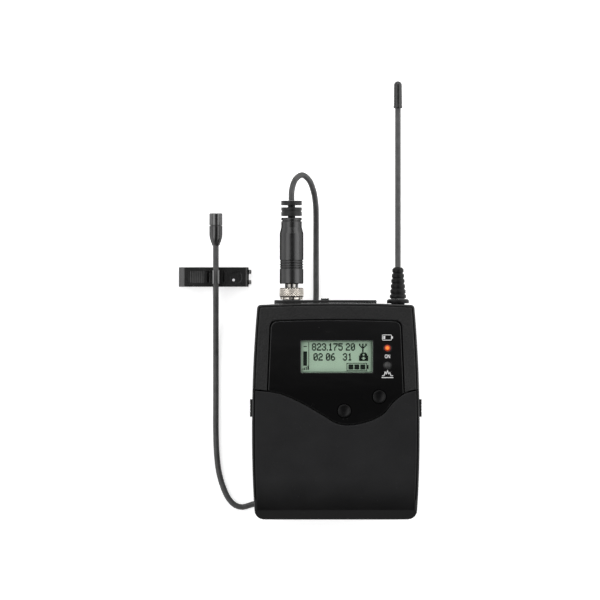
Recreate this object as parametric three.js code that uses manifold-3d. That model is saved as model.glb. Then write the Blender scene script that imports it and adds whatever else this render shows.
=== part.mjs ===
// Lavalier microphone set, laid flat: a clip-on microphone on its cable, the screw-lock plug,
// and the belt-worn transmitter that it feeds, with its flexible antenna.
// Millimetres. +Z points up from the table, +Y towards the antenna's tip, +X to the right.
// The origin is on the table, in the middle of the set without its cable and plug.

import * as THREE from 'three';
import { mergeVertices } from 'three/addons/utils/BufferGeometryUtils.js';
import Module from 'manifold-3d';

const wasm = await Module();
wasm.setup();

// ---------------------------------------------------------------- driving dimensions

const GAP = 0.3; // clearance between pieces that touch
const SLIDE_GAP = 0.35; // clearance round a piece that slides or rocks
const WALL = 1.6; // moulded walls
const BIG = 200; // longer than the whole set, for cutting tools
const OVERRUN = 0.1; // how far tools and joined blocks run past a face

// Transmitter case. Its own frame: x from its middle, y up from its bottom edge, z from its back.
const PACK_X = 13.66;
const PACK_Y = -83.7;
const PACK_WIDTH = 64;
const PACK_HEIGHT = 82;
const PACK_DEPTH = 24;
const PACK_WAIST = 34; // height of the widest point
const BOTTOM_DRAW = 0.9; // how much narrower each side is at the bottom
const TOP_DRAW = 1.9; // and at the top
const BOTTOM_RADIUS = 4.4;
const TOP_RADIUS = 1.8;
const TOP_BOW = 0.7; // rise of the arched top edge
const CASE_BEVEL = 1.1;
const CHAMFER_RISE = 3.7; // slope along the front's bottom edge, up the front
const CHAMFER_DEPTH = 2.6; // and back from it

// Seam between the display panel and the battery door: a shallow wave with its dip off centre.
const SEAM_RISE = 13.75; // from the dip to the shoulders
const SEAM_ABOVE_BAY = 0.75; // from the bulkhead's top to the dip
const SEAM_DIP_X = 5.4;
const SEAM_GAP = 0.5;
const SEAM_WAVE = [ // offset from the dip, and height from 0 at the dip to 1 at the shoulders
  [-37.4, 0.98], [-27.4, 0.88], [-19.4, 0.645], [-11, 0.3], [-5.4, 0.06], [0, 0],
  [6.6, 0.09], [12.6, 0.3], [16.6, 0.635], [21.1, 0.885], [26.6, 0.99],
];

// Display panel, its window and lamps.
const PANEL_DROP = 6.3; // from the case's top edge to the panel's
const PANEL_RIM = 7.1; // from the case's side to the panel, at the panel's top
const PANEL_FLARE = 1; // the panel is this much wider each side at the seam
const PANEL_RADIUS = 3.2;
const PANEL_BOW = 0.4;
const PANEL_RECESS = 0.3;
const PANEL_THICK = 1.4;
const DECK_THICK = 1.6; // deck behind the panel
const LCD_X = 0.15;
const LCD_SHIFT = 0.9; // of the window's middle above halfway from the upper button to the panel's top
const LCD_WIDTH = 26.8;
const LCD_HEIGHT = 11.4;
const LCD_LENS_THICK = 1;
const LCD_BORDER = 1.6; // how far the module is wider than its window
const LAMP_IN = 12.3; // from the case's side
const POWER_LAMP_RISE = 3.3; // above the window's middle
const PEAK_LAMP_DROP = 3.2; // and below it
const LAMP_RADIUS = 1.1;
const WINDOW_RECESS = 0.1; // of the lens and the lamps below the panel's face

// Push buttons and the rocker key below the door.
const BUTTON_RADIUS = 2.4;
const BUTTON_FLANGE = 0.8;
const BUTTON_FLANGE_THICK = 0.8;
const BUTTON_TRAVEL = 0.6;
const BUTTON_PROUD = 0.1;
const POWER_BUTTON_X = 3.24;
const POWER_BUTTON_RISE = 5.35; // above the seam's dip
const SET_BUTTON_X = 16.6;
const SET_BUTTON_RISE = 10.75;
const SWITCH_SIZE = 6;
const SWITCH_THICK = 2.4;
const SWITCH_BASE = 0.7; // share of a switch's height that its body takes
const ROCKER_X = -15.5;
const ROCKER_RISE = 4; // above the bulkhead
const ROCKER_LENGTH = 8;
const ROCKER_WIDTH = 4.2;
const ROCKER_THICK = 3;
const ROCKER_PAD_THICK = 1.6;
const ROCKER_DISH = 0.4;

// Electronics.
const BOARD_DEPTH = 9.5; // from the case's front to the board's back
const BOARD_THICK = 1;
const BOARD_RISE = 1.6; // above the bulkhead
const BOARD_DROP = 12; // from the case's top edge to the board's
const BOARD_SIDE = 4.6; // from the case's side to the board
const SHIELD_WIDTH = 24;
const SHIELD_HEIGHT = 20;
const SHIELD_THICK = 4.6;
const SHIELD_X = -6;
const SHIELD_DROP = 16; // from the board's top edge to the can's middle

// Case screws.
const LOW_SCREW_IN = 7.5; // from the case's side
const LOW_SCREW_RISE = 2.9; // above the bulkhead
const HIGH_SCREW_IN = 6.7;
const HIGH_SCREW_DROP = 9.6; // from the case's top edge
const SCREW_RADIUS = 1;
const SCREW_HEAD_RADIUS = 1.9;
const SCREW_HEAD_THICK = 1.4;
const SCREW_SINK = 0.3;
const SCREW_SLOT = 0.5;
const SCREW_LENGTH = 17;
const BOSS_WALL = 1.7;

// Battery bay.
const CELL_RADIUS = 7.25;
const CELL_LENGTH = 50.5;
const CELL_NUB_RADIUS = 2.7;
const CELL_NUB = 1;
const CELL_CHAMFER = 0.6;
const CELL_BACK = 4.95; // from the case's back to the cells
const CELL_FLOOR = 4.25; // and from its bottom edge
const CELL_SPACING = 0.5; // between the two cells
const CONTACT_THICK = 0.5;
const CONTACT_SIZE = 9;
const CONTACT_BUMP = 1;
const CONTACT_BUMP_RADIUS = 3;
const BAY_CLEARANCE = 0.45; // above the upper cell
const BULKHEAD = 1.2;
const TRAY_WALL = 1;
const TRAY_BELOW = 0.5; // from the cells' middle line down to the tray's edge

// Battery door, its hinge and side catches.
const DOOR_SKIRT = 6; // from the case's front to the back edge of the door's skirt
const HINGE_Y = 2.4;
const HINGE_DEPTH = 4.4; // from the case's front
const KNUCKLE_RADIUS = 2.3;
const EAR_RADIUS = 1.3;
const EAR_WIDTH = 3;
const EAR_IN = 6.5; // from the case's side
const HINGE_PIN_RADIUS = 0.6;
const CATCH_DROP = 7.3; // from the seam's shoulders
const CATCH_LENGTH = 6.7;
const CATCH_DEPTH = 3.7; // from the case's front
const CATCH_WIDTH = 2.8;
const CATCH_PROUD = 0.75;
const CATCH_FLANGE = 0.8;
const CATCH_TRAVEL = 0.8;

// Top plate, mute slider, jack.
const TOP_PLATE_X = -3.95;
const TOP_PLATE_LENGTH = 39.1;
const TOP_PLATE_DEPTH = 14;
const TOP_PLATE_RADIUS = 4;
const TOP_PLATE_RISE = 1.8; // above the case's top corners
const SLIDER_X = -4.15;
const SLIDER_LENGTH = 3;
const SLIDER_DEPTH = 3.4;
const SLIDER_PROUD = 0.7;
const SLIDER_TRAVEL = 2.2;
const SLIDER_FOOT = 1;
const MUTE_SWITCH_DEPTH = 5.6;
const MUTE_SWITCH_HEIGHT = 4;
const JACK_IN = 15.1; // from the case's left side
const JACK_THREAD_RADIUS = 3.5;
const JACK_BODY_RADIUS = 4.2;
const JACK_BODY_LENGTH = 9.6;
const LOCKNUT_RADIUS = 4.35;
const LOCKNUT_THICK = 0.5;
const LOCKNUT_SEAT = 0.2; // clearance under the lock nut

// Plug, from its threads towards the cable.
const CONTACT_PIN_RADIUS = 1.75;
const CONTACT_PIN_LENGTH = 14;
const CONTACT_PIN_POINT = 2.2;
const SLEEVE_RADIUS = 2.35;
const NUT_RADIUS = 4.75;
const NUT_LENGTH = 3.7;
const NUT_LIP = 0.9;
const NUT_KNURLS = 24;
const KNURL_DEPTH = 0.3;
const SLEEVE_SHOWN = 1.5; // between the nut and the plug's body
const PLUG_LENGTH = 25.1;
const PLUG_RADIUS = 4.42;
const PLUG_NECK_RADIUS = 3.87;
const PLUG_NECK_LENGTH = 3.9;
const PLUG_SHOULDER = 2;
const PLUG_GROOVES = 4;
const PLUG_GROOVE_RISE = 8.8; // last groove, above the body's bottom
const PLUG_GROOVE_PITCH = 0.95;
const PLUG_GROOVE_DEPTH = 0.35;
const PLUG_EDGE = 0.2;
const RELIEF_LENGTH = 6.4;
const RELIEF_RADIUS = 3.85;
const RELIEF_DISCS = 3;
const RELIEF_DISC_THICK = 1.5;
const RELIEF_EDGE = 0.3;
const RELIEF_CORE_RADIUS = 1.5;
const RELIEF_STEM = 5;

// Antenna.
const ANTENNA_IN = 8.26; // from the case's right side
const ANTENNA_LENGTH = 82.9; // above its base
const ROD_RADIUS = 1.1;
const TIP_LENGTH = 10.4;
const TIP_RADIUS = 1.72;
const TIP_NECK_RADIUS = 1.55;
const BASE_RADIUS = 4.25;
const BASE_THICK = 1.7;
const BASE_EDGE = 0.4;
const BASE_LIFT = 0.5; // above the case's top corners, to clear the arched edge
const STUD_RADIUS = 2.5;
const STUD_LENGTH = 5.5;
const BOOT_LENGTH = 11.9;
const BOOT_RIBS = 6;
const BOOT_TOP_RADIUS = 2.2;
const BOOT_BOTTOM_RADIUS = 3.15;
const BOOT_GROOVE = 0.35;

// Belt clip of bent wire, which the pack lies on.
const WIRE_RADIUS = 1;
const CLIP_BOW = 9.6; // from the pack's back to the wire's middle, where it lies on the table
const CLIP_IN = 8; // from the case's side to the wire's middle
const CLIP_PIVOT_BELOW = 16; // from the case's top edge
const CLIP_PIVOT_DROP = 2.4;
const CLIP_END = 4.4; // length of each end in its lug
const CLIP_TIP_Y = 9;
const CLIP_SLOPE = 14; // length of the sloping stretch at each end of the bow
const CLIP_BEND = 2;
const LUG_WIDTH = 4;
const LUG_RADIUS = 2.3;

// Microphone, measured along its axis.
const MIC_X = -32.2;
const MIC_TOP = 33.3;
const MIC_SEAM = 28.6;
const MIC_RADIUS = 2.4;
const MIC_WALL = 0.5;
const MIC_EDGE = 0.5;
const MIC_TAPER_TOP = 25.3;
const MIC_TAIL = 22.2;
const MIC_TAIL_RADIUS = 1.6;
const MIC_MOUTH_RADIUS = 1.2;
const CAPSULE_LENGTH = 3;
const SCREEN_THICK = 0.3;
const MIC_RELIEF_LENGTH = 0.6;

// Tie clip: two sheet-metal jaws on a pin, with a snap-in holder for the cable.
const CLIP_Y = 8.9;
const CABLE_RISE = 7.4; // height of the cable's middle in the holder
const SHEET = 0.9;
const JAW_LEFT = 14.2;
const JAW_RIGHT = 12.4;
const JAW_WIDTH = 7.5;
const JAW_CURL = 0.9;
const JAW_GAP = 3.1; // between the two sheets
const BITE_X = 9.4; // where the front jaw starts bending down to its bite
const PRONG = 1.7;
const PRONG_Y = 2;
const PRONG_HEIGHT = 1.4;
const JAW_PIN_X = -5;
const JAW_PIN_RADIUS = 0.5;
const JAW_EAR = 0.7;
const JAW_EAR_RADIUS = 1.4;
const SLOT_X = 2.9;
const SLOT_WIDTH = 0.85;
const SLOT_LENGTH = 4.2;
const EYE_X = 6.7;
const EYE_Y = -1.1; // from the clip's middle line
const EYE_RADIUS = 0.6;
const SPRING_WIRE = 0.22;
const SPRING_RADIUS = 1.05;
const SPRING_CURLS = 4;
const SPRING_PITCH = 0.85;
const HOLDER_WALL = 0.5;
const HOLDER_LENGTH = 5.3;
const HOLDER_MOUTH = 1.7;
const HOLDER_FOOT = 4.4;
const HOLDER_FOOT_THICK = 0.5;
const RIVET_RADIUS = 0.9;

// Cable.
const CABLE_RADIUS = 1.05;
const CABLE_LIFT = 0.1; // keeps the lying cable just clear of the table
const COIL_TURNS = 17;
const COIL_LAYERS = 4;
const COIL_INNER = 6.9;
const COIL_GAP = 0.5;
const COIL_Y = 31.7; // above the pack's bottom edge
const LOOP_STEPS = 24;
const LOOP_SIDES = 6;
const CABLE_SIDES = 8;
const CABLE_STEP = 4.4;

// ---------------------------------------------------------------- derived places

const PACK_Z = CLIP_BOW + WIRE_RADIUS;
const AXIS_Z = PACK_DEPTH / 2; // plug, jack and antenna lie in the middle of the case's depth
const SPLIT_Z = AXIS_Z; // the case halves meet there too, and hold the jack between them
const PACK_SIDE = PACK_WIDTH / 2;
const LAMP_X = PACK_SIDE - LAMP_IN;
const LOW_SCREW_X = PACK_SIDE - LOW_SCREW_IN;
const HIGH_SCREW_X = PACK_SIDE - HIGH_SCREW_IN;
const EAR_X = PACK_SIDE - EAR_IN;
const JACK_X = JACK_IN - PACK_SIDE;
const ANTENNA_X = PACK_SIDE - ANTENNA_IN;
const CLIP_HALF = PACK_SIDE - CLIP_IN;
const DECK_Z = PACK_DEPTH - PANEL_RECESS - PANEL_THICK - GAP - DECK_THICK;
const CELL_Z = CELL_BACK + CELL_RADIUS;
const TRAY_TOP = CELL_Z - TRAY_BELOW;
const CELL_LOW_Y = CELL_FLOOR + CELL_RADIUS;
const CELL_HIGH_Y = CELL_LOW_Y + 2 * CELL_RADIUS + CELL_SPACING;
const BAY_TOP = CELL_HIGH_Y + CELL_RADIUS + BAY_CLEARANCE;
const BULKHEAD_TOP = BAY_TOP + BULKHEAD;
const SEAM_DIP = BULKHEAD_TOP + SEAM_ABOVE_BAY;
const SEAM_SHOULDER = SEAM_DIP + SEAM_RISE;
const POWER_BUTTON = [POWER_BUTTON_X, SEAM_DIP + POWER_BUTTON_RISE];
const SET_BUTTON = [SET_BUTTON_X, SEAM_DIP + SET_BUTTON_RISE];
const ROCKER_Y = BULKHEAD_TOP + ROCKER_RISE;
const DOOR_SKIRT_Z = PACK_DEPTH - DOOR_SKIRT;
const HINGE_Z = PACK_DEPTH - HINGE_DEPTH;
const CATCH_Y = SEAM_SHOULDER - CATCH_DROP;
const CATCH_Z = PACK_DEPTH - CATCH_DEPTH;
const BOARD_Z = PACK_DEPTH - BOARD_DEPTH;
const BOARD_FACE = BOARD_Z + BOARD_THICK;
const BOARD_BOTTOM = BULKHEAD_TOP + BOARD_RISE;
const LOW_SCREW_Y = BULKHEAD_TOP + LOW_SCREW_RISE;
const PANEL_TOP = PACK_HEIGHT - PANEL_DROP;
const LCD_Y = (SET_BUTTON[1] + PANEL_TOP) / 2 + LCD_SHIFT;
const POWER_LAMP_Y = LCD_Y + POWER_LAMP_RISE;
const PEAK_LAMP_Y = LCD_Y - PEAK_LAMP_DROP;
const BOARD_TOP = PACK_HEIGHT - BOARD_DROP;
const SHIELD_Y = BOARD_TOP - SHIELD_DROP;
const HIGH_SCREW_Y = PACK_HEIGHT - HIGH_SCREW_DROP;
const SCREW_POINTS = [
  [-LOW_SCREW_X, LOW_SCREW_Y], [LOW_SCREW_X, LOW_SCREW_Y],
  [-HIGH_SCREW_X, HIGH_SCREW_Y], [HIGH_SCREW_X, HIGH_SCREW_Y],
];
const CLIP_PIVOT_Y = PACK_HEIGHT - CLIP_PIVOT_BELOW;
const TOP_PLATE_Y = PACK_HEIGHT + TOP_PLATE_RISE;
const LOCKNUT_BOTTOM = TOP_PLATE_Y + LOCKNUT_SEAT;
const NUT_BOTTOM = LOCKNUT_BOTTOM + LOCKNUT_THICK + GAP;
const JACK_THREAD_END = NUT_BOTTOM + NUT_LENGTH - NUT_LIP - GAP;
const PLUG_BOTTOM = NUT_BOTTOM + NUT_LENGTH + SLEEVE_SHOWN;
const PLUG_GROOVE_Y = PLUG_BOTTOM + PLUG_GROOVE_RISE;
const RELIEF_BOTTOM = PLUG_BOTTOM + PLUG_LENGTH;
const RELIEF_TOP = RELIEF_BOTTOM + RELIEF_LENGTH;
const BASE_BOTTOM = PACK_HEIGHT + BASE_LIFT;
const BOOT_BOTTOM = BASE_BOTTOM + BASE_THICK + GAP;
const BOOT_TOP = BOOT_BOTTOM + BOOT_LENGTH;
const ANTENNA_TOP = BOOT_BOTTOM + ANTENNA_LENGTH;
const COIL_PITCH = 2 * CABLE_RADIUS + COIL_GAP;
const COIL_OUTER = COIL_INNER + (COIL_PITCH * COIL_TURNS) / COIL_LAYERS;
const LYING_Z = CABLE_RADIUS + CABLE_LIFT;
const HOLDER_BORE = CABLE_RADIUS + GAP;
const SWING_RADIUS = Math.hypot(HINGE_Y, PACK_DEPTH - CHAMFER_DEPTH - HINGE_Z); // of the door's lower edge

// ---------------------------------------------------------------- solids

// A closed three.js geometry as a solid: shared vertices joined, empty triangles dropped, faces out.
function toSolid(geometry) {
  const bare = geometry.index ? geometry.toNonIndexed() : geometry.clone();
  bare.deleteAttribute('normal');
  bare.deleteAttribute('uv');
  const merged = mergeVertices(bare, 1e-4);
  const place = merged.attributes.position;
  const index = merged.index.array;
  const triangles = [];
  let volume = 0;
  const [a, b, c] = [new THREE.Vector3(), new THREE.Vector3(), new THREE.Vector3()];
  for (let i = 0; i < index.length; i += 3) {
    const [p, q, r] = [index[i], index[i + 1], index[i + 2]];
    if (p === q || q === r || r === p) continue;
    triangles.push([p, q, r]);
    a.fromBufferAttribute(place, p);
    b.fromBufferAttribute(place, q);
    c.fromBufferAttribute(place, r);
    volume += a.dot(b.cross(c));
  }
  const facing = volume > 0 ? triangles : triangles.map(([p, q, r]) => [p, r, q]);
  return new wasm.Manifold(new wasm.Mesh({
    numProp: 3,
    vertProperties: new Float32Array(place.array),
    triVerts: new Uint32Array(facing.flat()),
  }));
}

// A solid back as a three.js geometry.
function toGeometry(solid) {
  const mesh = solid.getMesh();
  const geometry = new THREE.BufferGeometry();
  geometry.setAttribute('position', new THREE.BufferAttribute(mesh.vertProperties, 3));
  geometry.setIndex(new THREE.BufferAttribute(mesh.triVerts, 1));
  geometry.computeVertexNormals();
  return geometry;
}

function join(...solids) {
  return solids.reduce((whole, solid) => whole.add(solid));
}

function cut(solid, ...tools) {
  return tools.reduce((rest, tool) => rest.subtract(tool), solid);
}

// A block from its corner-to-corner ranges.
function block([x0, x1], [y0, y1], [z0, z1]) {
  const geometry = new THREE.BoxGeometry(x1 - x0, y1 - y0, z1 - z0);
  return toSolid(geometry.translate((x0 + x1) / 2, (y0 + y1) / 2, (z0 + z1) / 2));
}

// A range of distances from the middle, on the right (1) or the left (-1).
function sided(side, near, far) {
  return side > 0 ? [near, far] : [-far, -near];
}

// A range of a width about a middle.
function about(middle, width) {
  return [middle - width / 2, middle + width / 2];
}

// Round bars along x, y and z, over a range, through the other two coordinates.
function barX(radius, [x0, x1], y, z, sides = 20) {
  const geometry = new THREE.CylinderGeometry(radius, radius, x1 - x0, sides);
  return toSolid(geometry.rotateZ(Math.PI / 2).translate((x0 + x1) / 2, y, z));
}

function barY(radius, [y0, y1], x, z, sides = 18) {
  const geometry = new THREE.CylinderGeometry(radius, radius, y1 - y0, sides);
  return toSolid(geometry.translate(x, (y0 + y1) / 2, z));
}

function barZ(radius, [z0, z1], x, y, sides = 16) {
  const geometry = new THREE.CylinderGeometry(radius, radius, z1 - z0, sides);
  return toSolid(geometry.rotateX(Math.PI / 2).translate(x, y, (z0 + z1) / 2));
}

// A flat shape made solid along z, along y (drawn in x and z) or along x (drawn in y and z).
function slabZ(shape, [z0, z1], curveSegments = 3) {
  const geometry = new THREE.ExtrudeGeometry(shape, { depth: z1 - z0, bevelEnabled: false, curveSegments });
  return toSolid(geometry.translate(0, 0, z0));
}

function slabY(shape, [y0, y1], curveSegments = 4) {
  const geometry = new THREE.ExtrudeGeometry(shape, { depth: y1 - y0, bevelEnabled: false, curveSegments });
  return toSolid(geometry.rotateX(Math.PI / 2).translate(0, y1, 0));
}

function slabX(shape, [x0, x1], curveSegments = 4) {
  const geometry = new THREE.ExtrudeGeometry(shape, { depth: x1 - x0, bevelEnabled: false, curveSegments });
  const turn = new THREE.Matrix4().makeBasis(
    new THREE.Vector3(0, 1, 0),
    new THREE.Vector3(0, 0, 1),
    new THREE.Vector3(1, 0, 0),
  );
  return toSolid(geometry.applyMatrix4(turn).translate(x0, 0, 0));
}

// A turned piece about a line along y. The profile lists radius and height.
function turned(profile, x, z, segments = 18) {
  const points = profile.map(([radius, height]) => new THREE.Vector2(radius, height));
  return toSolid(new THREE.LatheGeometry(points, segments).translate(x, 0, z));
}

function polygon(points) {
  return new THREE.Shape(points.map(([x, y]) => new THREE.Vector2(x, y)));
}

function circlePoints(radius, sides) {
  return Array.from({ length: sides }, (_, i) => {
    const angle = (2 * Math.PI * i) / sides;
    return [radius * Math.cos(angle), radius * Math.sin(angle)];
  });
}

// A tab with one round end about (a, b), whose straight sides run along the second axis to a reach.
function tab(radius, a, b, reach) {
  const steps = 8;
  const start = Math.PI;
  const sweep = reach > b ? Math.PI : -Math.PI;
  const arc = Array.from({ length: steps + 1 }, (_, i) => {
    const angle = start + (sweep * i) / steps;
    return [a + radius * Math.cos(angle), b + radius * Math.sin(angle)];
  });
  return polygon([[a - radius, reach], ...arc, [a + radius, reach]]);
}

function roundedRectangle([x0, x1], [y0, y1], radius) {
  const shape = new THREE.Shape();
  shape.moveTo(x0 + radius, y0);
  shape.lineTo(x1 - radius, y0);
  shape.absarc(x1 - radius, y0 + radius, radius, -Math.PI / 2, 0);
  shape.lineTo(x1, y1 - radius);
  shape.absarc(x1 - radius, y1 - radius, radius, 0, Math.PI / 2);
  shape.lineTo(x0 + radius, y1);
  shape.absarc(x0 + radius, y1 - radius, radius, Math.PI / 2, Math.PI);
  shape.lineTo(x0, y0 + radius);
  shape.absarc(x0 + radius, y0 + radius, radius, Math.PI, 1.5 * Math.PI);
  return shape;
}

// A round tube along a smooth curve.
function tubeAlong(curve, radius, sides, steps) {
  const section = polygon(circlePoints(radius, sides));
  return toSolid(new THREE.ExtrudeGeometry(section, { steps, extrudePath: curve, bevelEnabled: false }));
}

// A round tube with a ring at each point, for loops, curls and bent wire.
function tubeThrough(points, radius, sides) {
  const positions = [];
  const index = [];
  const last = points.length - 1;
  const side = new THREE.Vector3(0.3, 0.5, 0.8);
  points.forEach((point, i) => {
    const ahead = points[Math.min(i + 1, last)];
    const behind = points[Math.max(i - 1, 0)];
    const along = ahead.clone().sub(behind).normalize();
    side.addScaledVector(along, -side.dot(along)).normalize();
    const up = side.clone().cross(along);
    circlePoints(radius, sides).forEach(([across, above]) => {
      const corner = point.clone().addScaledVector(side, across).addScaledVector(up, above);
      positions.push(corner.x, corner.y, corner.z);
    });
  });
  for (let ring = 0; ring < last; ring += 1) {
    for (let s = 0; s < sides; s += 1) {
      const next = (s + 1) % sides;
      const [a, b] = [ring * sides + s, ring * sides + next];
      index.push(a, b, b + sides, a, b + sides, a + sides);
    }
  }
  for (let s = 1; s < sides - 1; s += 1) {
    index.push(0, s + 1, s);
    index.push(last * sides, last * sides + s, last * sides + s + 1);
  }
  const geometry = new THREE.BufferGeometry();
  geometry.setAttribute('position', new THREE.Float32BufferAttribute(positions, 3));
  geometry.setIndex(index);
  return toSolid(geometry);
}

// The least gap between turns of a wound tube, from the points on its middle line.
function leastGap(points, radius, turnSteps) {
  let least = Infinity;
  for (let i = 0; i < points.length; i += 1) {
    for (let j = i + turnSteps / 2; j < points.length; j += 1) {
      least = Math.min(least, points[i].distanceTo(points[j]) - 2 * radius);
    }
  }
  return least;
}

// ---------------------------------------------------------------- finishes

const finish = (color, roughness, metalness = 0) => ({ color, roughness, metalness });
const SATIN_BLACK = finish(0x2a2a2b, 0.55);
const DOOR_BLACK = finish(0x232324, 0.6);
const GLOSS_BLACK = finish(0x0b0c0d, 0.12);
const BUTTON_BLACK = finish(0x1c1c1d, 0.45);
const SOFT_BLACK = finish(0x222223, 0.8);
const METAL_BLACK = finish(0x1a1a1b, 0.4, 0.6);
const NICKEL = finish(0xcfc8b8, 0.25, 1);
const STEEL = finish(0xb9bbbd, 0.3, 1);
const GOLD = finish(0xc9a24a, 0.3, 1);
const BOARD_GREEN = finish(0x1f5a37, 0.6);
const LCD_GREY = finish(0xa5bea5, 0.5);
const CELL_GREY = finish(0x6f7276, 0.4, 0.4);
const LAMP_RED = finish(0xff3b1e, 0.3);
const LAMP_GREY = finish(0x8b8f90, 0.4);

// ---------------------------------------------------------------- outlines of the case

// The case's outline, drawn in by an inset.
function packOutline(inset) {
  const middle = PACK_SIDE - inset;
  const low = middle - BOTTOM_DRAW;
  const high = middle - TOP_DRAW;
  const bottom = inset;
  const top = PACK_HEIGHT - inset;
  const lowRadius = Math.max(BOTTOM_RADIUS - inset, 0.4);
  const highRadius = Math.max(TOP_RADIUS - inset, 0.4);
  const shape = new THREE.Shape();
  shape.moveTo(-low + lowRadius, bottom);
  shape.lineTo(low - lowRadius, bottom);
  shape.quadraticCurveTo(low, bottom, low, bottom + lowRadius);
  shape.quadraticCurveTo(middle, (bottom + PACK_WAIST) / 2, middle, PACK_WAIST);
  shape.quadraticCurveTo(middle, (PACK_WAIST + top) / 2, high, top - highRadius);
  shape.quadraticCurveTo(high, top, high - highRadius, top);
  shape.quadraticCurveTo(0, top + 2 * TOP_BOW, -high + highRadius, top);
  shape.quadraticCurveTo(-high, top, -high, top - highRadius);
  shape.quadraticCurveTo(-middle, (PACK_WAIST + top) / 2, -middle, PACK_WAIST);
  shape.quadraticCurveTo(-middle, (bottom + PACK_WAIST) / 2, -low, bottom + lowRadius);
  shape.quadraticCurveTo(-low, bottom, -low + lowRadius, bottom);
  return shape;
}

// Points on the seam between panel and door, moved up by an offset.
function seamPoints(offset) {
  const knots = SEAM_WAVE.map(([x, rise]) => new THREE.Vector2(SEAM_DIP_X + x, SEAM_DIP + SEAM_RISE * rise));
  const across = new THREE.SplineCurve(knots).getPoints(2 * knots.length);
  const inner = across.map(({ x, y }) => [x, y + offset]);
  return [[-BIG, inner[0][1]], ...inner, [BIG, inner.at(-1)[1]]];
}

// Everything below or above the seam, within a range of depths.
function belowSeam(offset, depths) {
  return slabZ(polygon([[-BIG, -BIG], [BIG, -BIG], ...seamPoints(offset).reverse()]), depths);
}

function aboveSeam(offset, depths) {
  return slabZ(polygon([...seamPoints(offset), [BIG, BIG], [-BIG, BIG]]), depths);
}

// The display panel's outline, grown by a margin. Its lower edge is cut by the seam afterwards.
function panelOutline(margin) {
  const top = PANEL_TOP + margin;
  const half = PACK_SIDE - PANEL_RIM + margin;
  const foot = half + PANEL_FLARE;
  const shape = new THREE.Shape();
  shape.moveTo(-foot, SEAM_DIP);
  shape.lineTo(foot, SEAM_DIP);
  shape.lineTo(foot, SEAM_SHOULDER - 2);
  shape.lineTo(half, top - PANEL_RADIUS);
  shape.quadraticCurveTo(half, top, half - PANEL_RADIUS, top);
  shape.quadraticCurveTo(0, top + 2 * PANEL_BOW, -half + PANEL_RADIUS, top);
  shape.quadraticCurveTo(-half, top, -half, top - PANEL_RADIUS);
  shape.lineTo(-foot, SEAM_SHOULDER - 2);
  return shape;
}

// The case as one filled block with its edges bevelled and its lower front edge chamfered.
function filledCase() {
  const geometry = new THREE.ExtrudeGeometry(packOutline(CASE_BEVEL), {
    depth: PACK_DEPTH - 2 * CASE_BEVEL,
    bevelThickness: CASE_BEVEL,
    bevelSize: CASE_BEVEL,
    bevelSegments: 1,
    curveSegments: 3,
  });
  const corner = polygon([
    [-BIG, PACK_DEPTH - CHAMFER_DEPTH - (BIG * CHAMFER_DEPTH) / CHAMFER_RISE],
    [CHAMFER_RISE, PACK_DEPTH],
    [CHAMFER_RISE, BIG],
    [-BIG, BIG],
  ]);
  return toSolid(geometry.translate(0, 0, CASE_BEVEL)).subtract(slabX(corner, [-BIG, BIG]));
}

const CASE = filledCase();
const CAVITY = slabZ(packOutline(WALL), [WALL, PACK_DEPTH - WALL]);
const EVERYWHERE = [-BIG, BIG];
const TOP_ROOM = [PACK_HEIGHT - 3 * WALL, BIG];

// ---------------------------------------------------------------- case halves

function screwBosses(depths) {
  const radius = SCREW_RADIUS + GAP + BOSS_WALL;
  return SCREW_POINTS.map(([x, y]) => barZ(radius, depths, x, y, 12));
}

function screwHoles(depths, radius = SCREW_RADIUS + GAP) {
  return SCREW_POINTS.map(([x, y]) => barZ(radius, depths, x, y, 10));
}

// Holes through the top wall, and through the plate on it, for the jack, the antenna and the slider.
function topOpenings() {
  const slotStart = SLIDER_X - SLIDER_LENGTH / 2 - SLIDE_GAP;
  const slotEnd = SLIDER_X + SLIDER_LENGTH / 2 + SLIDER_TRAVEL + SLIDE_GAP;
  return [
    barY(JACK_THREAD_RADIUS + GAP, TOP_ROOM, JACK_X, AXIS_Z),
    barY(STUD_RADIUS + GAP, TOP_ROOM, ANTENNA_X, AXIS_Z, 16),
    block([slotStart, slotEnd], TOP_ROOM, about(AXIS_Z, SLIDER_DEPTH + 2 * SLIDE_GAP)),
  ];
}

function rearShell() {
  const lugs = [-1, 1].map((side) => {
    const range = about(side * (CLIP_HALF - WIRE_RADIUS - GAP - LUG_WIDTH / 2), LUG_WIDTH);
    return slabX(tab(LUG_RADIUS, CLIP_PIVOT_Y, -CLIP_PIVOT_DROP, WALL / 2), range);
  });
  const bores = [-1, 1].map((side) => {
    const range = sided(side, CLIP_HALF - CLIP_END - GAP, CLIP_HALF);
    return barX(WIRE_RADIUS + GAP, range, CLIP_PIVOT_Y, -CLIP_PIVOT_DROP, 12);
  });
  const half = CASE.intersect(block(EVERYWHERE, EVERYWHERE, [-BIG, SPLIT_Z - GAP / 2]));
  const tray = cut(half, CAVITY);
  const bossed = join(tray, ...screwBosses([WALL / 2, SPLIT_Z - GAP / 2]), ...lugs);
  return cut(
    bossed,
    ...bores,
    ...topOpenings(),
    ...screwHoles(EVERYWHERE),
    ...screwHoles([-BIG, SCREW_SINK + SCREW_HEAD_THICK + GAP], SCREW_HEAD_RADIUS + GAP),
  );
}

// Half the deck's width behind the door, clear of the side catches when they are pressed.
const DECK_SIDE = PACK_SIDE - WALL - CATCH_FLANGE - CATCH_TRAVEL - 4 * GAP;

// The deck that carries the panel, and continues under the door to the battery bay's top wall.
function deck() {
  const depths = [DECK_Z, DECK_Z + DECK_THICK];
  const whole = slabZ(packOutline(WALL / 2), depths);
  const behindDoor = block([-DECK_SIDE, DECK_SIDE], [BAY_TOP + BULKHEAD / 2, BIG], EVERYWHERE);
  return whole.intersect(join(aboveSeam(SEAM_GAP, EVERYWHERE), behindDoor));
}

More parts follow.
